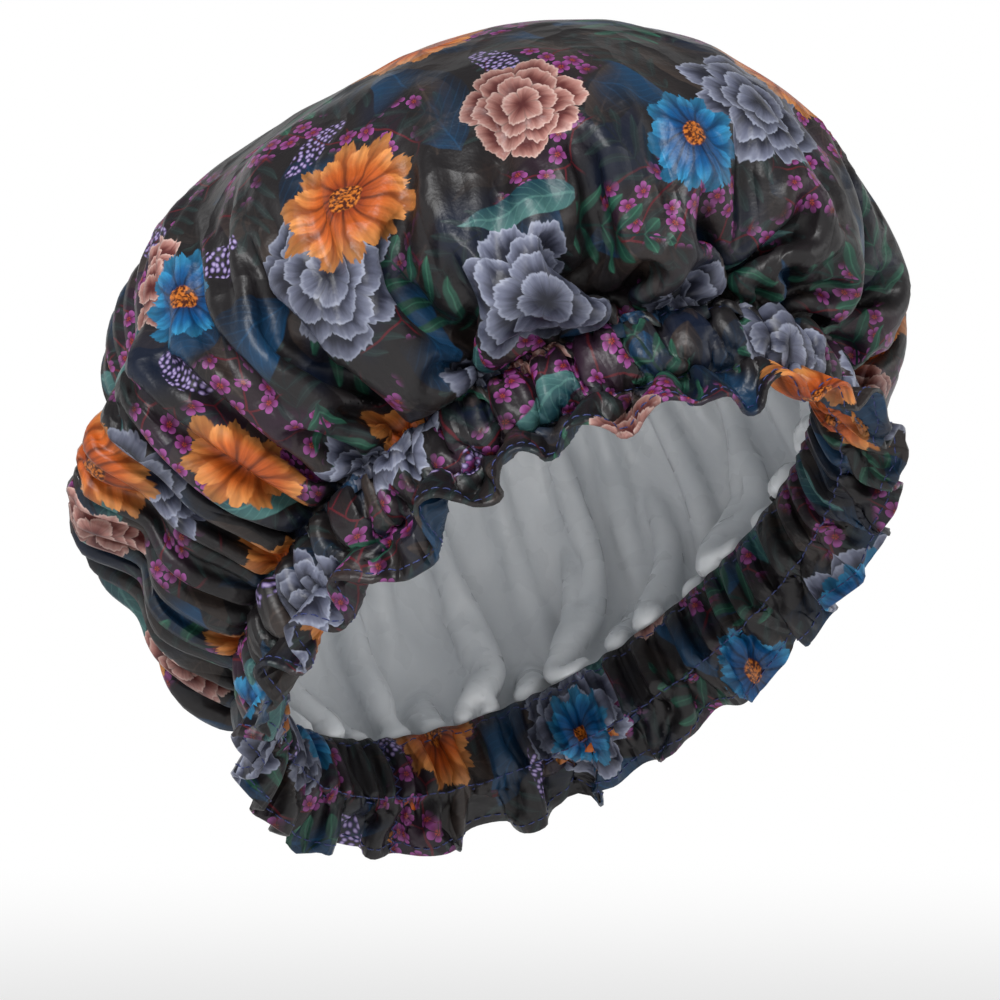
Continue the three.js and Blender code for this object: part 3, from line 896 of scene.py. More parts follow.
def disc_places(counts):
    """Where each of those points lies on the flat disc, in metres."""
    rings = [polar(radius, around(points) * 2 * np.pi) * MM
             for radius, points in zip(tucked_radii(len(counts)), counts)]
    return np.concatenate(rings + [np.zeros((1, 2))])


def disc_piece(name, grid, depth, material):
    """A closed layer of the crown, its middle at a depth below the settled cloth."""
    counts = ring_counts(*grid.shape[:2])
    out = normals(grid)
    depth = np.broadcast_to(depth, grid.shape[:2])[..., None]
    outer = disc_face(grid + out * (CLOTH / 2 - depth), counts)
    inner = disc_face(grid - out * (CLOTH / 2 + depth), counts)
    size = len(outer)
    edge = counts[0]
    back = [face[::-1] for face in ring_faces(counts, size)]
    rim = [(k, size + k, size + (k + 1) % edge, (k + 1) % edge) for k in range(edge)]
    faces = ring_faces(counts, 0) + back + rim
    corners = np.concatenate([np.array(face) for face in faces])
    flat = np.tile(disc_places(counts), (2, 1))[corners]
    share = flat / (2 * (DISC_RADIUS + TUCKED_EDGE) * MM)
    on_face = (corners < size)[:, None]
    bake = np.where(on_face, FACE_MAP[0] + share * FACE_MAP[1], BACK_MAP[0] + share * BACK_MAP[1])
    rim_size = np.where(on_face[-4 * edge:], FACE_MAP[1], RIM_SIZE)
    bake[-4 * edge:] = FACE_MAP[0] + share[-4 * edge:] * rim_size
    return make_piece(name, to_part(np.concatenate([outer, inner])), faces, material, flat, bake)


def strip_map(side, share, edge_side, columns):
    """Places of the strip's faces in its map for finished colours."""
    length = columns // STRIP_LENGTHS
    section = side[:, :1] // length
    u = MAP_MARGIN + (1 - 2 * MAP_MARGIN) * (side - section * length) / length
    v = LENGTH_STEP * section + MAP_MARGIN + LENGTH_HEIGHT * share
    face = np.stack([u, v], -1)
    back = np.stack([side / columns, STRIP_BACK[0] + STRIP_BACK[1] * share], -1)
    level = STRIP_EDGES[0] + STRIP_EDGES[1] * np.array([1, 1, 0, 0])
    edge = np.stack([edge_side / columns, np.broadcast_to(level, edge_side.shape)], -1)
    return np.concatenate([face, back[:, ::-1], edge, edge[:, ::-1]])


def strip_piece(name, grid, material):
    """A closed piece of the folded strip, with a face on each side and its two raw edges closed."""
    rows, columns = grid.shape[:2]
    out = -normals(grid)
    points = np.concatenate([grid + out * CLOTH / 2, grid - out * CLOTH / 2]).reshape(-1, 3)
    run = run_along(grid).mean(1)
    face = ring_quads(rows, columns)[:, ::-1]
    step = face // columns
    side = face[:, -1:] % columns + [0, 1, 1, 0]
    here = np.arange(columns)
    there = (here + 1) % columns
    behind = rows * columns
    edge = np.stack([there + behind, here + behind, here, there], -1)
    faces = np.concatenate([face, face[:, ::-1] + behind, edge, edge[:, ::-1] + (rows - 1) * columns])
    edge_side = np.stack([there, here, here, there], -1)
    place = np.stack([side * STRIP_LENGTH / columns, run[step]], -1) * MM
    edge_place = np.stack([edge_side * STRIP_LENGTH / columns, np.zeros((columns, 4))], -1) * MM
    flat = np.concatenate([place, place[:, ::-1], edge_place, edge_place[:, ::-1]]).reshape(-1, 2)
    bake = strip_map(side, run[step] / run[-1], edge_side, columns).reshape(-1, 2)
    return make_piece(name, to_part(points), faces.tolist(), material, flat, bake)


# Threads and elastic: tubes and strips that follow the settled cloth

THREAD_RADIUS = 0.2
THREAD_SIDES = 6
STITCH_PITCH = 3.1
STITCH_LENGTH = 2.5
STITCH_RISE = (-0.25, 0.1, 0.16, 0.1, -0.25)
ZIGZAG_STEPS = 4
RIB_COUNT = 10
RIB_DEPTH = 0.12
ELASTIC_STEPS = 320


def swept_faces(tubes, rings, sides):
    """Faces of a number of tubes alike, each closed at both ends."""
    starts = np.arange(tubes)[:, None, None] * rings * sides
    walls = ring_quads(rings, sides) + starts
    ends = np.stack([np.arange(sides)[::-1], np.arange(sides) + (rings - 1) * sides]) + starts
    return walls.reshape(-1, 4).tolist() + ends.reshape(-1, sides).tolist()


def tube_points(lines, up):
    """Points round threads that run along lines of points, with up pointing away from the cloth."""
    along = unit(np.gradient(lines, axis=1))
    side = unit(np.cross(along, up))
    top = np.cross(side, along)
    angle = np.arange(THREAD_SIDES) * 2 * np.pi / THREAD_SIDES
    ring = side[:, :, None] * np.cos(angle)[:, None] + top[:, :, None] * np.sin(angle)[:, None]
    return lines[:, :, None] + ring * THREAD_RADIUS


def follow(run, points, places):
    """Points at places along a line whose own points lie at run."""
    return np.stack([np.interp(places, run, points[:, axis]) for axis in range(3)], -1)


def row_of_stitches(line, out):
    """Tubes of short stitches along a closed line on the cloth; their ends go down into it."""
    line, out = np.concatenate([line, line[:1]]), np.concatenate([out, out[:1]])
    run = run_along(line)
    number = round(run[-1] / STITCH_PITCH)
    starts = np.arange(number)[:, None] * run[-1] / number
    places = starts + np.linspace(0, STITCH_LENGTH, len(STITCH_RISE))
    up = unit(follow(run, out, places))
    return tube_points(follow(run, line, places) + up * np.array(STITCH_RISE)[:, None], up)


def thread_piece(name, tubes, material):
    """One piece of thread from sets of tubes."""
    points, faces = [], []
    for tube in tubes:
        start = sum(len(part) for part in points)
        faces += [[start + k for k in face] for face in swept_faces(*tube.shape[:3])]
        points.append(tube.reshape(-1, 3))
    return make_piece(name, to_part(np.concatenate(points)), faces, material)


def between_rows(grid, row):
    """A row of the grid, or the middle of two rows for a half number."""
    low = int(row)
    return grid[low] + (grid[min(low + 1, len(grid) - 1)] - grid[low]) * (row - low)


def stitched_rows(sheet, rows):
    """Stitches on the outer face of the folded strip along some of its rows."""
    out = -normals(sheet)
    face = sheet + out * CLOTH / 2
    return [row_of_stitches(between_rows(face, row), between_rows(out, row)) for row in rows]


def zigzag(corners, up):
    """One thread from corner to corner."""
    steps = np.linspace(0, len(corners) - 1, (len(corners) - 1) * ZIGZAG_STEPS + 1)
    order = np.arange(len(corners))
    return tube_points(follow(order, corners, steps)[None], unit(follow(order, up, steps))[None])


def join_seam(sheet, first_row):
    """Zigzag down the inner face of the band at the nape, where the ends of the strip are joined."""
    out = -normals(sheet)
    face = sheet + out * (CLOTH / 2 + THREAD_RADIUS)
    rows = np.arange(first_row, len(sheet))
    side = np.where(np.arange(len(rows)) % 2, 1, -1)
    return zigzag(face[rows, side], out[rows, side])


def tack():
    """Bar of close zigzag across the lap of the elastic."""
    corners = round(TACK_LENGTH / (2 * THREAD_RADIUS)) + 1
    turn = np.where(np.arange(corners) % 2, 0.5, -0.5) * TACK_WIDTH / LOOP_LENGTH
    level = np.linspace(-TACK_LENGTH / 2, TACK_LENGTH / 2, corners)
    out = ELASTIC_IN + LAP_STEP + ELASTIC_THICKNESS + THREAD_RADIUS
    up = np.concatenate([outward(loop_angle(turn)), np.zeros((corners, 1))], -1)
    return zigzag(on_loop(turn, out, level), up)


def elastic_piece(material):
    """Ribbed strip that starts at the lap, runs once round and climbs over its own start."""
    half_lap = ELASTIC_LAP / 2 / LOOP_LENGTH
    turn = np.linspace(-half_lap, 1 + half_lap, ELASTIC_STEPS)
    climb = np.clip((turn - 1 + 2 * half_lap) * LOOP_LENGTH / ELASTIC_CLIMB + 1, 0, 1)
    raised = LAP_STEP * climb * climb * (3 - 2 * climb)
    level = np.linspace(-0.5, 0.5, 4 * RIB_COUNT + 1) * ELASTIC_WIDTH
    rib = RIB_DEPTH * np.abs(np.sin(np.pi * RIB_COUNT * level / ELASTIC_WIDTH)) - RIB_DEPTH
    face = [on_loop(turn, ELASTIC_IN + raised + ELASTIC_THICKNESS + r, z) for r, z in zip(rib, level)]
    back = [on_loop(turn, ELASTIC_IN + raised - r, z) for r, z in zip(rib[::-1], level[::-1])]
    rings = np.stack(face + back, 1)
    faces = swept_faces(1, *rings.shape[:2])
    return make_piece("elastic_strip", to_part(rings.reshape(-1, 3)), faces, material)


# Nodes: numbers, places and colours that a material works out

class Ink:
    """A number, place or colour that a material's nodes work out; arithmetic on it adds nodes."""

    def __init__(self, socket):
        self.socket = socket

    def __add__(self, other):
        return reckon("ADD", self, other)

    def __sub__(self, other):
        return reckon("SUBTRACT", self, other)

    def __rsub__(self, other):
        return reckon("SUBTRACT", other, self)

    def __mul__(self, other):
        return reckon("MULTIPLY", self, other)

    def __truediv__(self, other):
        return reckon("DIVIDE", self, other)

    def __pow__(self, other):
        return reckon("POWER", self, other)

    __radd__ = __add__
    __rmul__ = __mul__


def feed(socket, value):
    if isinstance(value, Ink):
        socket.id_data.links.new(value.socket, socket)
    elif isinstance(value, tuple) and socket.type == "RGBA":
        socket.default_value = (*value, 1.0)
    else:
        socket.default_value = value


def add_node(tree, kind, settings=(), **inputs):
    """A node with some settings and inputs; an input's spaces are written as underscores."""
    node = tree.nodes.new("ShaderNode" + kind)
    for name, value in dict(settings).items():
        setattr(node, name, value)
    for name, value in inputs.items():
        feed(node.inputs[name.replace("_", " ")], value)
    return node


def tree_of(*values):
    return next(value.socket.id_data for value in values if isinstance(value, Ink))


def worked_out(kind, operation, values):
    node = add_node(tree_of(*values), kind, {"operation": operation})
    for socket, value in zip(node.inputs, values):
        feed(socket, value)
    return Ink(node.outputs[0])


def reckon(operation, *values):
    return worked_out("Math", operation, values)


def move(operation, *values):
    return worked_out("VectorMath", operation, values)


def scaled(value, amount):
    """A colour or place times a number."""
    node = add_node(tree_of(value, amount), "VectorMath", {"operation": "SCALE"}, Scale=amount)
    feed(node.inputs[0], value)
    return Ink(node.outputs[0])


def length_of(place):
    return Ink(move("LENGTH", place).socket.node.outputs["Value"])


def size_of(value):
    return reckon("ABSOLUTE", value)


def part_of(value):
    """What is left over after whole numbers, from 0 to 1."""
    return reckon("FRACT", value)


def cosine(value):
    return reckon("COSINE", value)


def most_of(a, b):
    return reckon("MAXIMUM", a, b)


def limit(value):
    return reckon("MINIMUM", most_of(value, 0.0), 1.0)


def soft(value, low, high, start=0.0, end=1.0):
    """A smooth step from start at low to end at high."""
    node = add_node(tree_of(value), "MapRange", {"interpolation_type": "SMOOTHSTEP"}, Value=value,
                    From_Min=low, From_Max=high, To_Min=start, To_Max=end)
    return Ink(node.outputs["Result"])


def tint(red, green, blue):
    """A screen colour as the linear numbers that shaders take."""
    def linear(c):
        c /= 255
        return c / 12.92 if c <= 0.04045 else ((c + 0.055) / 1.055) ** 2.4
    return linear(red), linear(green), linear(blue)


def layer(below, above, mask):
    """One colour painted over another where the mask is 1."""
    node = add_node(tree_of(below, above, mask), "Mix", {"data_type": "RGBA"})
    for index, value in ((0, mask), (6, below), (7, above)):
        feed(node.inputs[index], value)
    return Ink(node.outputs[2])


def axes(place):
    node = add_node(tree_of(place), "SeparateXYZ", Vector=place)
    return Ink(node.outputs["X"]), Ink(node.outputs["Y"])


def spot(x, y):
    return Ink(add_node(tree_of(x, y), "CombineXYZ", X=x, Y=y).outputs[0])


def thirds(colour):
    """The three numbers of a colour."""
    return [Ink(out) for out in add_node(tree_of(colour), "SeparateColor", Color=colour).outputs]


def noise(place, size, detail, roughness=0.5, dimensions="2D"):
    """Smooth noise with lumps of a size."""
    return add_node(tree_of(place), "TexNoise", {"noise_dimensions": dimensions}, Vector=place,
                    Scale=1.0 / size, Detail=detail, Roughness=roughness)


def cloud(place, size, detail=2.0, dimensions="2D"):
    """Noise as one number from 0 to 1."""
    return Ink(noise(place, size, detail, dimensions=dimensions).outputs[0])


def clouds(place, size, detail=2.0, roughness=0.5, dimensions="2D"):
    """Noise as three numbers from 0 to 1."""
    return thirds(Ink(noise(place, size, detail, roughness, dimensions).outputs["Color"]))


def wander(place, size, amount):
    """A place moved about by noise, so that drawn edges look painted by hand."""
    drift = move("SUBTRACT", Ink(noise(place, size, 2.0).outputs["Color"]), (0.5, 0.5, 0.5))
    return move("ADD", place, move("MULTIPLY", drift, (amount, amount, 0.0)))


def cells(place, size, loose, feature="F1", **inputs):
    """Cells of a lattice, more or less loose."""
    return add_node(tree_of(place), "TexVoronoi", {"voronoi_dimensions": "2D", "feature": feature},
                    Vector=place, Scale=1.0 / size, Randomness=loose, **inputs)


def spun_round(place, angle):
    node = add_node(tree_of(place), "VectorRotate", {"rotation_type": "Z_AXIS"}, Vector=place, Angle=angle)
    return Ink(node.outputs[0])


# Print: a floral of flowers, leaves, sprigs and berries, in millimetres on the flat cloth

PRINT_STRENGTH = 0.66
CROWN_PRINT = (0.0, 0.0, 0.0)
BAND_PRINT = (340.0, 515.0, 0.0)
HAND_SIZE = 18.0
HAND_DRIFT = 5.0
HAZE_SIZE = 44.0

# Lattices of the motifs: pitch, turn, and how loose they are
SHADOW_LATTICE = (31.0, 1.7, 0.8)
FERN_LATTICE = (37.0, 0.9, 0.7)
BROAD_LATTICE = (50.0, 0.4, 0.6)
BLOSSOM_LATTICE = (6.8, 0.0, 0.75)
SLIM_LATTICE = (46.0, 2.1, 0.55)
RUFFLED_LATTICE = (78.0, 0.35, 0.5)
RAY_LATTICE = (78.0, 1.25, 0.5)

# Sizes: half length and width of leaves and berries; half length, reach and pitch of leaflets of sprigs
SHADOW_LEAF_SIZE = (19.0, 13.0)
BROAD_LEAF_SIZE = (29.0, 23.0)
SLIM_LEAF_SIZE = (20.0, 11.0)
BERRIES_SIZE = (12.0, 4.6)
BERRY_SIZE = 1.9
FERN_SIZE = (20.0, 10.0, 5.5)
SPRIG_SIZE = (24.0, 12.0, 8.5)
BLOSSOM_SIZE = 3.0
TWIG_PITCH = 17.0
TWIG_THICKNESS = 0.38
VEIN_PITCH = 3.4
SEED_SIZE = 1.1

# Flowers: largest radius, how much less the second colour's is, and how much less by lot
RUFFLED_SIZE = (26.5, 6.5, 3.0)
RAY_SIZE = (23.5, 5.0, 4.0)
RAY_PETALS = 10
BLOSSOM_PETALS = 5

# Rings of petals: turn, share of the size and brightness of rays; share, petals and turn of ruffled ones
RAY_RINGS = ((0.5, 1.0, 0.6), (0.0, 0.86, 1.0))
RUFFLED_RINGS = ((1.0, 7, 0.3), (0.78, 6, 1.5), (0.56, 5, 0.8), (0.34, 4, 0.2))

# Shares of the lattice's cells that hold a motif, or a number by lot above which it has the second colour
BLOSSOM_SHARE = 0.7
SPRIG_SHARE = 0.42
LEAF_SHARE = 0.72
BERRIES_START = 0.78
RUFFLED_SHARE = 0.88
RAY_SHARE = 0.78
PINK_START = 0.66
BLUE_START = 0.70

# Colours from dark to light
GROUND = tint(31, 28, 30)
SHADOW_LEAF = tint(24, 22, 24), tint(78, 66, 60)
FERN = tint(24, 30, 34), tint(52, 74, 72)
BROAD_LEAF = tint(14, 28, 46), tint(26, 74, 112)
TWIG = tint(92, 28, 38)
BLOSSOM = tint(104, 24, 78), tint(156, 78, 148)
BLOSSOM_EYE = tint(160, 60, 50)
SPRIG = tint(14, 44, 42), tint(58, 112, 90)
SLIM_LEAF = tint(16, 58, 72), tint(86, 132, 128)
BERRY = tint(58, 42, 96), tint(184, 166, 216)
GREY_RUFFLES = tint(30, 32, 46), tint(96, 100, 126), tint(168, 174, 194)
PINK_RUFFLES = tint(92, 40, 40), tint(180, 110, 100), tint(226, 196, 186)
ORANGE_RAYS = tint(128, 40, 14), tint(208, 98, 34), tint(240, 162, 90)
BLUE_RAYS = tint(8, 40, 88), tint(8, 90, 150), tint(60, 156, 204)
RAY_EYE = tint(78, 28, 10), tint(222, 126, 42)

# Hazes of blue, plum and brown on the ground: colour, noise where they start and are full, and strength
HAZES = ((tint(18, 28, 48), 0.54, 0.72, 1.0), (tint(50, 26, 46), 0.54, 0.72, 0.8),
         (tint(50, 42, 40), 0.56, 0.74, 0.7))


class Motif:
    """One motif in each cell of a loose lattice: places in it, turned by lot, and numbers drawn by lot."""

    def __init__(self, place, pitch, turn, loose):
        laid = spun_round(place, turn)
        cell = cells(laid, pitch, loose)
        self.lots = thirds(Ink(cell.outputs["Color"]))
        apart = move("SUBTRACT", laid, Ink(cell.outputs["Position"]))
        self.place = spun_round(apart, self.lots[0] * (2 * math.pi))
        self.x, self.y = axes(self.place)

    def go_round(self, squash):
        """Distance from the middle and angle round it, on a flower seen a little from one side."""
        across = self.y * squash
        self.radius = reckon("SQRT", reckon("MULTIPLY_ADD", self.x, self.x, across * across))
        self.angle = reckon("ARCTAN2", across, self.x)

    def chosen(self, share):
        """1 in this share of the cells, 0 in the others."""
        return reckon("LESS_THAN", self.lots[1], share)

    def second(self, start):
        """1 in the cells that have the second colour, 0 in the others."""
        return reckon("GREATER_THAN", self.lots[2], start)


def streaks(motif, across, along):
    """Three fine noises that run out from the middle of a flower like the veins of its petals."""
    return clouds(spot(motif.angle * across, motif.radius * along), 1.0, roughness=0.65)


def petals(motif, size, number, width, shift, round_tip):
    """A ring of petals: how far along and across its petal a place is, and where the ring is."""
    wave = motif.angle * (number / (2 * math.pi)) + (shift + number)
    along = motif.radius / size
    across = part_of(wave) * 2.0 - 1.0
    bow = limit(along * (4.0 - along * 4.0)) ** round_tip
    return along, size_of(across), soft(bow * width - size_of(across), 0.0, 0.16)


def stacked(rings):
    """Rings of petals, each a colour and a mask, laid over one another."""
    colour, mask = rings[0]
    for shade, inside in rings[1:]:
        colour, mask = layer(colour, shade, inside), most_of(mask, inside)
    return colour, mask


def ray_flower(motif, size, colours):
    """Two rings of slim petals round a seeded middle."""
    motif.go_round(1.14)
    inner, middle, tip = colours
    vein, length, _ = streaks(motif, 9.0, 0.12)
    reach = (length * 0.28 + 0.86) * size
    rings = []
    for shift, share, bright in RAY_RINGS:
        along, across, inside = petals(motif, reach * share, RAY_PETALS, 0.96, shift, 0.5)
        shade = layer(layer(inner, middle, soft(along, 0.15, 0.6)), tip, soft(along, 0.55, 1.05))
        crease = soft(across, 0.0, 0.22, 0.72, 1.0) * soft(across, 0.55, 1.0, bright, bright * 0.55)
        rings.append((scaled(shade, crease * (vein * 0.8 + 0.55)), inside))
    seeds = layer(*RAY_EYE, soft(cloud(motif.place, SEED_SIZE, 1.0), 0.35, 0.7))
    return stacked(rings + [(seeds, soft(motif.radius / size, 0.20, 0.24, 1.0, 0.0))])


def ruffled_flower(motif, size, colours):
    """Rings of broad frilled petals, each lit along its edge and dark where the next ring rises from it."""
    motif.go_round(1.1)
    deep, middle, pale = colours
    frill, vein, blotch = streaks(motif, 6.0, 0.08)
    side = soft(motif.x / size, -1.0, 1.0, 0.7, 1.12)
    rings = []
    for share, number, turn in RUFFLED_RINGS:
        lobe = size_of(cosine(motif.angle * (number / 2) + turn)) ** 0.55
        edge = (lobe * 0.24 + (frill * 0.2 + 0.62)) * share
        behind = edge - motif.radius / size
        tone = soft(behind, 0.0, 0.28, 1.0, 0.0)
        lit = tone * tone * 0.5 * (blotch + 0.3) + soft(behind, 0.02, 0.06, 0.38, 0.0)
        shade = layer(layer(deep, middle, limit(tone * (vein * 1.1 + 0.4))), pale, limit(lit))
        rings.append((scaled(shade, soft(lobe, 0.0, 0.5, 0.5, 1.0) * side), soft(behind, 0.0, 0.02)))
    return stacked(rings)


def leaf(motif, length, width, dark, light):
    """One pointed leaf with a midrib and side veins."""
    x = motif.x / length
    half = limit(1.0 - x * x) * (width / 2) * (x * -0.35 + 1.0)
    side = size_of(motif.y)
    inside = soft(half - side, 0.0, 0.5)
    vein = soft(cosine((motif.x - side * 1.1) * (2 * math.pi / VEIN_PITCH)), 0.75, 1.0, 0.0, 0.25)
    rib = soft(side, 0.15, 0.5, 0.45, 0.0)
    return layer(dark, light, soft(motif.y, -width / 2, width / 2, 0.0, 0.75) + vein + rib), inside


def sprig(motif, length, reach, pitch, dark, light):
    """A stem with slim leaflets along both sides."""
    side = size_of(motif.y)
    across = size_of(part_of((motif.x - side * 0.8) / pitch) - 0.5) * 2.0
    x = motif.x / length
    along = side / (limit(1.0 - x * x) * reach + 0.01)
    bow = limit(along * (4.0 - along * 4.0)) ** 0.7
    inside = soft(bow * 0.62 - across, 0.0, 0.2)
    stem = soft(side, 0.25, 0.5, 1.0, 0.0) * soft(size_of(x), 0.96, 1.0, 1.0, 0.0)
    tone = soft(across, 0.0, 0.12, 0.5, 0.0) + along * 0.6
    return layer(dark, light, tone), most_of(inside, stem)


def small_blossoms(motif, size, deep, pale, eye):
    """Five-petalled blossoms a few millimetres wide."""
    motif.go_round(1.15)
    along, _, inside = petals(motif, size, BLOSSOM_PETALS, 1.0, 0.0, 0.4)
    shade = layer(layer(deep, pale, soft(along, 0.25, 0.9)), eye, soft(along, 0.18, 0.34, 1.0, 0.0))
    return shade, inside * motif.chosen(BLOSSOM_SHARE)


def twigs(place, pitch, thickness):
    """Thin branching lines."""
    distance = Ink(cells(place, pitch, 1.0, "DISTANCE_TO_EDGE").outputs["Distance"])
    return soft(distance, thickness * 0.5 / pitch, thickness / pitch, 1.0, 0.0)


def berries(motif, length, width, dark, light):
    """A spike of small round berries."""
    x = motif.x / length
    y = motif.y / width
    inside = soft(x * x + y * y, 0.85, 1.0, 1.0, 0.0)
    bead = soft(Ink(cells(motif.place, BERRY_SIZE, 0.6).outputs["Distance"]), 0.1, 0.55, 1.0, 0.0)
    return layer(dark, light, bead * bead), inside * soft(bead, 0.05, 0.3)


def painted(colour, motif, where):
    """A motif, as its colour and mask, painted where it is wanted."""
    shade, mask = motif
    return layer(colour, shade, mask * where)


def undergrowth(colour, hand, plum, brown):
    """Dim leaves and ferns, blue leaves, and twigs with small blossoms."""
    shadowy = leaf(Motif(hand, *SHADOW_LATTICE), *SHADOW_LEAF_SIZE, *SHADOW_LEAF)
    colour = painted(colour, shadowy, soft(brown, 0.40, 0.60, 0.25, 0.8))
    colour = painted(colour, sprig(Motif(hand, *FERN_LATTICE), *FERN_SIZE, *FERN), 0.6)
    broad = leaf(Motif(hand, *BROAD_LATTICE), *BROAD_LEAF_SIZE, *BROAD_LEAF)
    colour = painted(colour, broad, soft(plum, 0.36, 0.54, 0.9, 0.0))
    colour = painted(colour, (TWIG, twigs(hand, TWIG_PITCH, TWIG_THICKNESS)), soft(plum, 0.50, 0.56))
    blossoms = small_blossoms(Motif(hand, *BLOSSOM_LATTICE), BLOSSOM_SIZE, *BLOSSOM, BLOSSOM_EYE)
    return painted(colour, blossoms, soft(plum, 0.52, 0.60))


def flowers(colour, hand):
    """Grey and pink ruffled flowers, and orange and blue ray flowers over them."""
    for draw, lattice, start, share, sizes, first, second in (
            (ruffled_flower, RUFFLED_LATTICE, PINK_START, RUFFLED_SHARE, RUFFLED_SIZE,
             GREY_RUFFLES, PINK_RUFFLES),
            (ray_flower, RAY_LATTICE, BLUE_START, RAY_SHARE, RAY_SIZE, ORANGE_RAYS, BLUE_RAYS)):
        motif = Motif(hand, *lattice)
        other = motif.second(start)
        tones = [layer(a, b, other) for a, b in zip(first, second)]
        size = sizes[0] - other * sizes[1] - motif.lots[1] * sizes[2]
        colour = painted(colour, draw(motif, size, tones), motif.chosen(share))
    return colour


def floral(place):
    """The whole print, painted from the dark ground up."""
    hand = wander(place, HAND_SIZE, HAND_DRIFT)
    _, plum, brown = hazes = clouds(place, HAZE_SIZE)
    colour = GROUND
    for haze, (tone, start, full, strength) in zip(hazes, HAZES):
        colour = layer(colour, tone, soft(haze, start, full, 0.0, strength))
    colour = undergrowth(colour, hand, plum, brown)
    slim = Motif(hand, *SLIM_LATTICE)
    colour = painted(colour, sprig(slim, *SPRIG_SIZE, *SPRIG), slim.chosen(SPRIG_SHARE))
    leaves = slim.chosen(LEAF_SHARE) - slim.chosen(SPRIG_SHARE)
    colour = painted(colour, leaf(slim, *SLIM_LEAF_SIZE, *SLIM_LEAF), leaves)
    colour = painted(colour, berries(slim, *BERRIES_SIZE, *BERRY), 1.0 - slim.chosen(BERRIES_START))
    return flowers(colour, hand)


# Materials

CLOTH_ROUGHNESS = 0.42
CLOTH_SPECULAR = 0.30

# Fine relief of the cloth in millimetres: size and height of creases, crinkles and weave
CREASE_SIZE, CREASE_HEIGHT = 15.0, 2.0
CRINKLE_SIZE, CRINKLE_HEIGHT = 6.0, 0.3
WEAVE_SIZE, WEAVE_HEIGHT = 0.9, 0.05

# Gathers in that relief: their size, how they run, and where on the disc they fade
GATHER_SIZE = 15.0
GATHER_RUN = 0.14
GATHER_FADE = (135.0, 205.0)
BAND_GATHER_SIZE = 8.0
BAND_GATHER_RUN = 0.2
VALLEY_DEPTH = 5.0
RIDGE_RISE = 4.0

THREAD_COLOURS = tint(20, 27, 62), tint(52, 64, 124)
ELASTIC_COLOURS = tint(206, 203, 194), tint(244, 242, 236)
FILM_COLOURS = tint(214, 218, 222), tint(236, 238, 240)


def new_material(name):
    material = bpy.data.materials.new(name)
    material.use_nodes = True
    return material, material.node_tree, material.node_tree.nodes["Principled BSDF"]


def add_bump(tree, shader, height, depth):
    """Fine relief of a depth in millimetres."""
    bump = add_node(tree, "Bump", {}, Strength=1.0, Distance=depth * MM, Height=height)
    feed(shader.inputs["Normal"], Ink(bump.outputs[0]))


def flat_places(tree, offset):
    """Places on the flat cloth in millimetres."""
    flat = Ink(add_node(tree, "UVMap", {"uv_map": "flat"}).outputs[0])
    return move("MULTIPLY_ADD", flat, (1 / MM, 1 / MM, 0.0), offset)


def creases(place, size):
    """Relief of a light cloth that was folded small: flat facets that meet in soft edges."""
    bent = wander(place, size, size * 0.7)
    apart = Ink(cells(bent, size, 1.0, "SMOOTH_F1", Smoothness=CREASE_ROUNDING).outputs["Distance"])
    return apart * apart


def pleats(place, size):
    """Relief of crisp ridges and valleys side by side."""
    ridge, valley, _ = clouds(place, size, 0.6, dimensions="3D")
    return size_of(valley - 0.5) * VALLEY_DEPTH - size_of(ridge - 0.5) * RIDGE_RISE


def crown_gathers(place):
    """Creases that run from the gathered edge of the disc towards its middle, and fade there."""
    far = length_of(place)
    rise = Ink(add_node(tree_of(place), "CombineXYZ", Z=far * GATHER_RUN).outputs[0])
    round_edge = move("MULTIPLY_ADD", move("NORMALIZE", place), (DISC_RADIUS, DISC_RADIUS, 0.0), rise)
    return pleats(round_edge, GATHER_SIZE) * soft(far, *GATHER_FADE)


def band_gathers(place):
    """Creases that run across the strip."""
    return pleats(move("MULTIPLY", place, (1.0, BAND_GATHER_RUN, 0.0)), BAND_GATHER_SIZE)


def cloth_material(name, offset, gathers):
    """Satin cloth with the floral print, laid at an offset on the flat cloth, and fine crinkles."""
    material, tree, shader = new_material(name)
    place = flat_places(tree, offset)
    feed(shader.inputs["Base Color"], scaled(floral(place), PRINT_STRENGTH))
    shader.inputs["Roughness"].default_value = CLOTH_ROUGHNESS
    shader.inputs["Specular IOR Level"].default_value = CLOTH_SPECULAR
    relief = creases(place, CREASE_SIZE) * CREASE_HEIGHT + cloud(place, CRINKLE_SIZE, 3.0) * CRINKLE_HEIGHT
    weave = cloud(place, WEAVE_SIZE, 1.0) * WEAVE_HEIGHT
    add_bump(tree, shader, relief + gathers(place) + weave, 1.0)
    return material


def film_material():
    """Milky waterproof film, a little uneven, with soft wrinkles."""
    material, tree, shader = new_material("lining_film")
    place = flat_places(tree, (0.0, 0.0, 0.0))
    feed(shader.inputs["Base Color"], layer(*FILM_COLOURS, cloud(place, 24.0, 3.0)))
    feed(shader.inputs["Roughness"], soft(cloud(place, 11.0), 0.3, 0.7, 0.24, 0.36))
    add_bump(tree, shader, cloud(place, 8.0, 3.0), 0.5)
    return material


def spun_material(name, colours, grain, roughness):
    """Thread or woven elastic: fine fibres in relief, their colour varying from fibre to fibre and painted
    lighter where the relief stands out, a painted highlight on raised fibres with painted shade between them.
    """
    material, tree, shader = new_material(name)
    place = scaled(Ink(add_node(tree, "TexCoord").outputs["Object"]), 1 / MM)
    fibre = cloud(place, grain, dimensions="3D")
    # Painted highlight and shade: the colour follows the relief, lighter on raised fibres and darker in the
    # hollows between them
    feed(shader.inputs["Base Color"], layer(*colours, soft(fibre, 0.3, 0.7)))
    shader.inputs["Roughness"].default_value = roughness
    add_bump(tree, shader, fibre, grain / 3)
    return material


# Pieces

sheet = band_sheet(settled_band(), settled_inner_ply())
crown = tucked_crown(settled_crown())
lining_depth = np.minimum(LINING_GAP, ROOM_SHARE * room(crown, -normals(crown)))

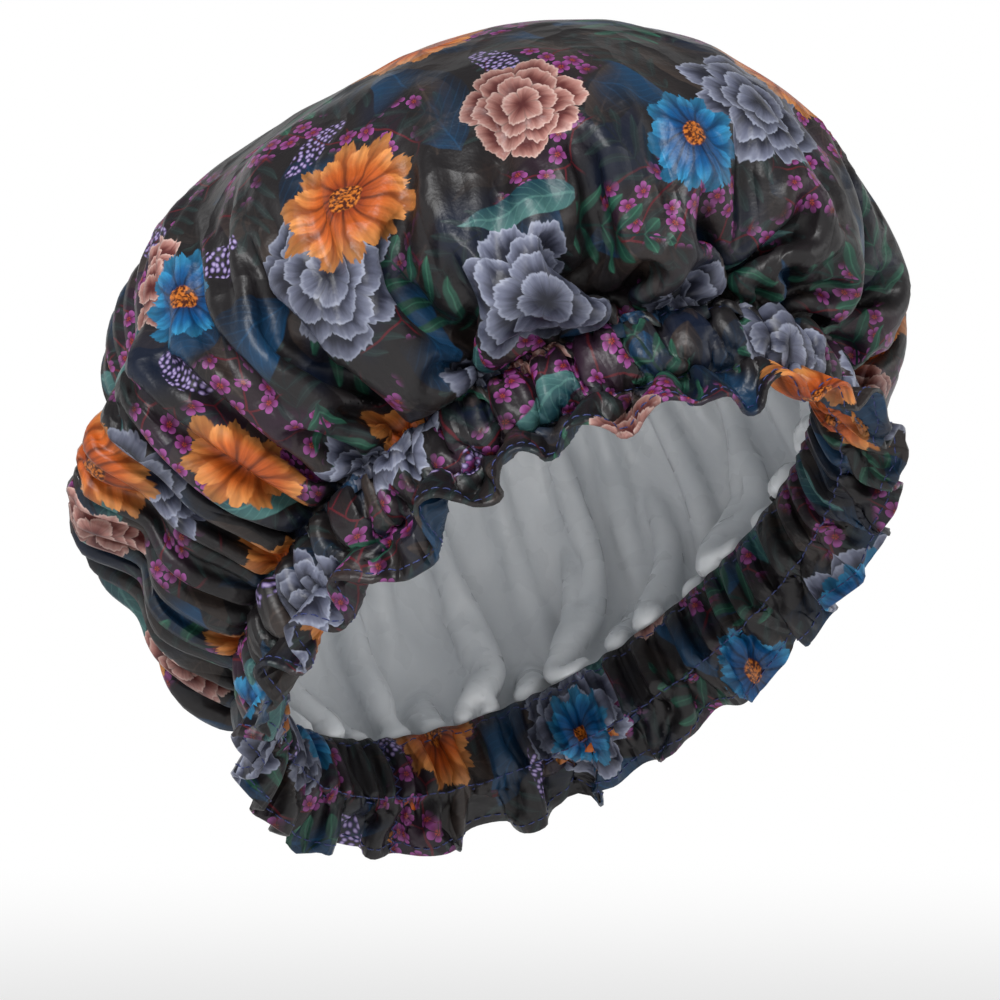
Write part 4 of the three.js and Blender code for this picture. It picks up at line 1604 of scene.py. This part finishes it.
# Rows of the folded strip that are sewn through both of its plies
hem_fold = TUCKED_ROWS + len(strip_rows())
inner_ply = hem_fold + 1 + RUFFLE_ROWS
inner_upper_row = inner_ply + (UPPER_ROW - LOWER_ROW) / (BAND_TOP - LOWER_ROW) * (INNER_ROWS - 1)
upper_rows = (TUCKED_ROWS + UPPER_STITCH, inner_upper_row)
lower_rows = (TUCKED_ROWS + LOWER_STITCH, inner_ply)
hem_rows = (hem_fold - 1 - HEM_STITCH_ROWS, hem_fold + 1 + HEM_STITCH_ROWS)

thread = spun_material("thread", THREAD_COLOURS, 0.35, 0.5)
printed_cloth = cloth_material("printed_cloth", CROWN_PRINT, crown_gathers)
crown_piece = disc_piece("crown_cloth", crown, 0.0, printed_cloth)
lining_piece = disc_piece("lining_film", crown, lining_depth, film_material())
band_piece = strip_piece("band_cloth", sheet, cloth_material("band_cloth", BAND_PRINT, band_gathers))
elastic = elastic_piece(spun_material("elastic", ELASTIC_COLOURS, 0.5, 0.75))
upper_stitches = thread_piece("crown_seam_stitches", stitched_rows(sheet, upper_rows), thread)
lower_stitches = thread_piece("channel_stitches", stitched_rows(sheet, lower_rows), thread)
hem_stitches = thread_piece("hem_stitches", stitched_rows(sheet, hem_rows), thread)
join_stitches = thread_piece("band_join_stitches", [join_seam(sheet, hem_fold + 1)], thread)
tack_stitches = thread_piece("elastic_tack_stitches", [tack()], thread)

for piece, node, slot in (
        (crown_piece, "crown_shell", "printed_cloth"), (lining_piece, "crown_lining", "lining_film"),
        (band_piece, "ruffle_band", "band_cloth"), (elastic, "elastic_band", "elastic"),
        (upper_stitches, "crown_seam_thread", "thread"), (lower_stitches, "channel_thread", "thread"),
        (hem_stitches, "hem_thread", "thread"), (join_stitches, "band_join_thread", "thread"),
        (tack_stitches, "elastic_lap_tack", "thread")):
    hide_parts(node)
for piece in (elastic, upper_stitches, lower_stitches, hem_stitches, join_stitches, tack_stitches):
    face_outward(piece)


# Stage

FLOOR_LEVEL = -0.32
FLOOR_SIZE = 24.0
FADE_START = 0.6
FADE_END = 2.4
PALE = (1.0, 1.0, 1.0)
OVERHEAD = (0.24, 0.24, 0.24)
OVERHEAD_START = 0.2
OVERHEAD_END = 0.6
CAMERA_AZIMUTH = math.radians(-35)
CAMERA_ELEVATION = math.radians(2)
CAMERA_DISTANCE = 1.5
SENSOR_WIDTH = 36.0
PIXEL = 0.000278
FRAME_PIXELS = 1000
ORIGIN_PIXEL = (551.8, 573.0)

# Lights: name, place, size and power
LIGHTS = (("key", (-1.2, -0.9, 1.3), 0.9, 38), ("fill", (1.3, -1.0, 0.6), 1.2, 6))


def add_camera():
    a, e = CAMERA_AZIMUTH, CAMERA_ELEVATION
    right = Vector((math.cos(a), math.sin(a), 0))
    back = Vector((math.sin(a) * math.cos(e), -math.cos(a) * math.cos(e), math.sin(e)))
    up = back.cross(right)
    middle = FRAME_PIXELS / 2
    centre = right * ((middle - ORIGIN_PIXEL[0]) * PIXEL) + up * ((ORIGIN_PIXEL[1] - middle) * PIXEL)
    data = bpy.data.cameras.new("camera")
    data.sensor_width = SENSOR_WIDTH
    data.lens = SENSOR_WIDTH * CAMERA_DISTANCE / (FRAME_PIXELS * PIXEL)
    camera = bpy.data.objects.new("camera", data)
    facing = Matrix((right, up, back)).transposed().to_4x4()
    camera.matrix_world = Matrix.Translation(centre + back * CAMERA_DISTANCE) @ facing
    bpy.context.scene.collection.objects.link(camera)
    bpy.context.scene.camera = camera


def add_light(name, place, size, power):
    data = bpy.data.lights.new(name, "AREA")
    data.shape = "DISK"
    data.size = size
    data.energy = power
    light = bpy.data.objects.new(name, data)
    light.location = place
    light.rotation_mode = "QUATERNION"
    light.rotation_quaternion = (-Vector(place)).to_track_quat("-Z", "Y")
    bpy.context.scene.collection.objects.link(light)


def add_floor():
    """Pale floor that fades with distance into the backdrop."""
    half = FLOOR_SIZE / 2
    mesh = bpy.data.meshes.new("floor")
    corners = ((-half, -half), (half, -half), (half, half), (-half, half))
    mesh.from_pydata([(x, y, FLOOR_LEVEL) for x, y in corners], [], [(0, 1, 2, 3)])
    material, tree, shader = new_material("floor")
    far = length_of(Ink(add_node(tree, "TexCoord").outputs["Object"]))
    shader.inputs["Base Color"].default_value = (*PALE, 1.0)
    shader.inputs["Roughness"].default_value = 0.9
    shader.inputs["Specular IOR Level"].default_value = 0.0
    glow = add_node(tree, "Emission", {}, Color=PALE)
    blend = add_node(tree, "MixShader", {}, Fac=soft(far, FADE_START, FADE_END))
    feed(blend.inputs[1], Ink(shader.outputs[0]))
    feed(blend.inputs[2], Ink(glow.outputs[0]))
    feed(tree.nodes["Material Output"].inputs["Surface"], Ink(blend.outputs[0]))
    mesh.materials.append(material)
    floor = bpy.data.objects.new("floor", mesh)
    bpy.context.scene.collection.objects.link(floor)


def add_backdrop():
    """White all round and dimmer overhead, where the lights hang."""
    world = bpy.data.worlds.new("studio")
    world.use_nodes = True
    tree = world.node_tree
    way = Ink(add_node(tree, "TexCoord").outputs["Generated"])
    height = Ink(add_node(tree, "SeparateXYZ", Vector=way).outputs["Z"])
    colour = layer(PALE, OVERHEAD, soft(height, OVERHEAD_START, OVERHEAD_END))
    feed(tree.nodes["Background"].inputs["Color"], colour)
    tree.nodes["Background"].inputs["Strength"].default_value = 1.0
    bpy.context.scene.world = world


add_camera()
for light in LIGHTS:
    add_light(*light)
add_floor()
add_backdrop()
bpy.context.scene.view_settings.view_transform = "Standard"
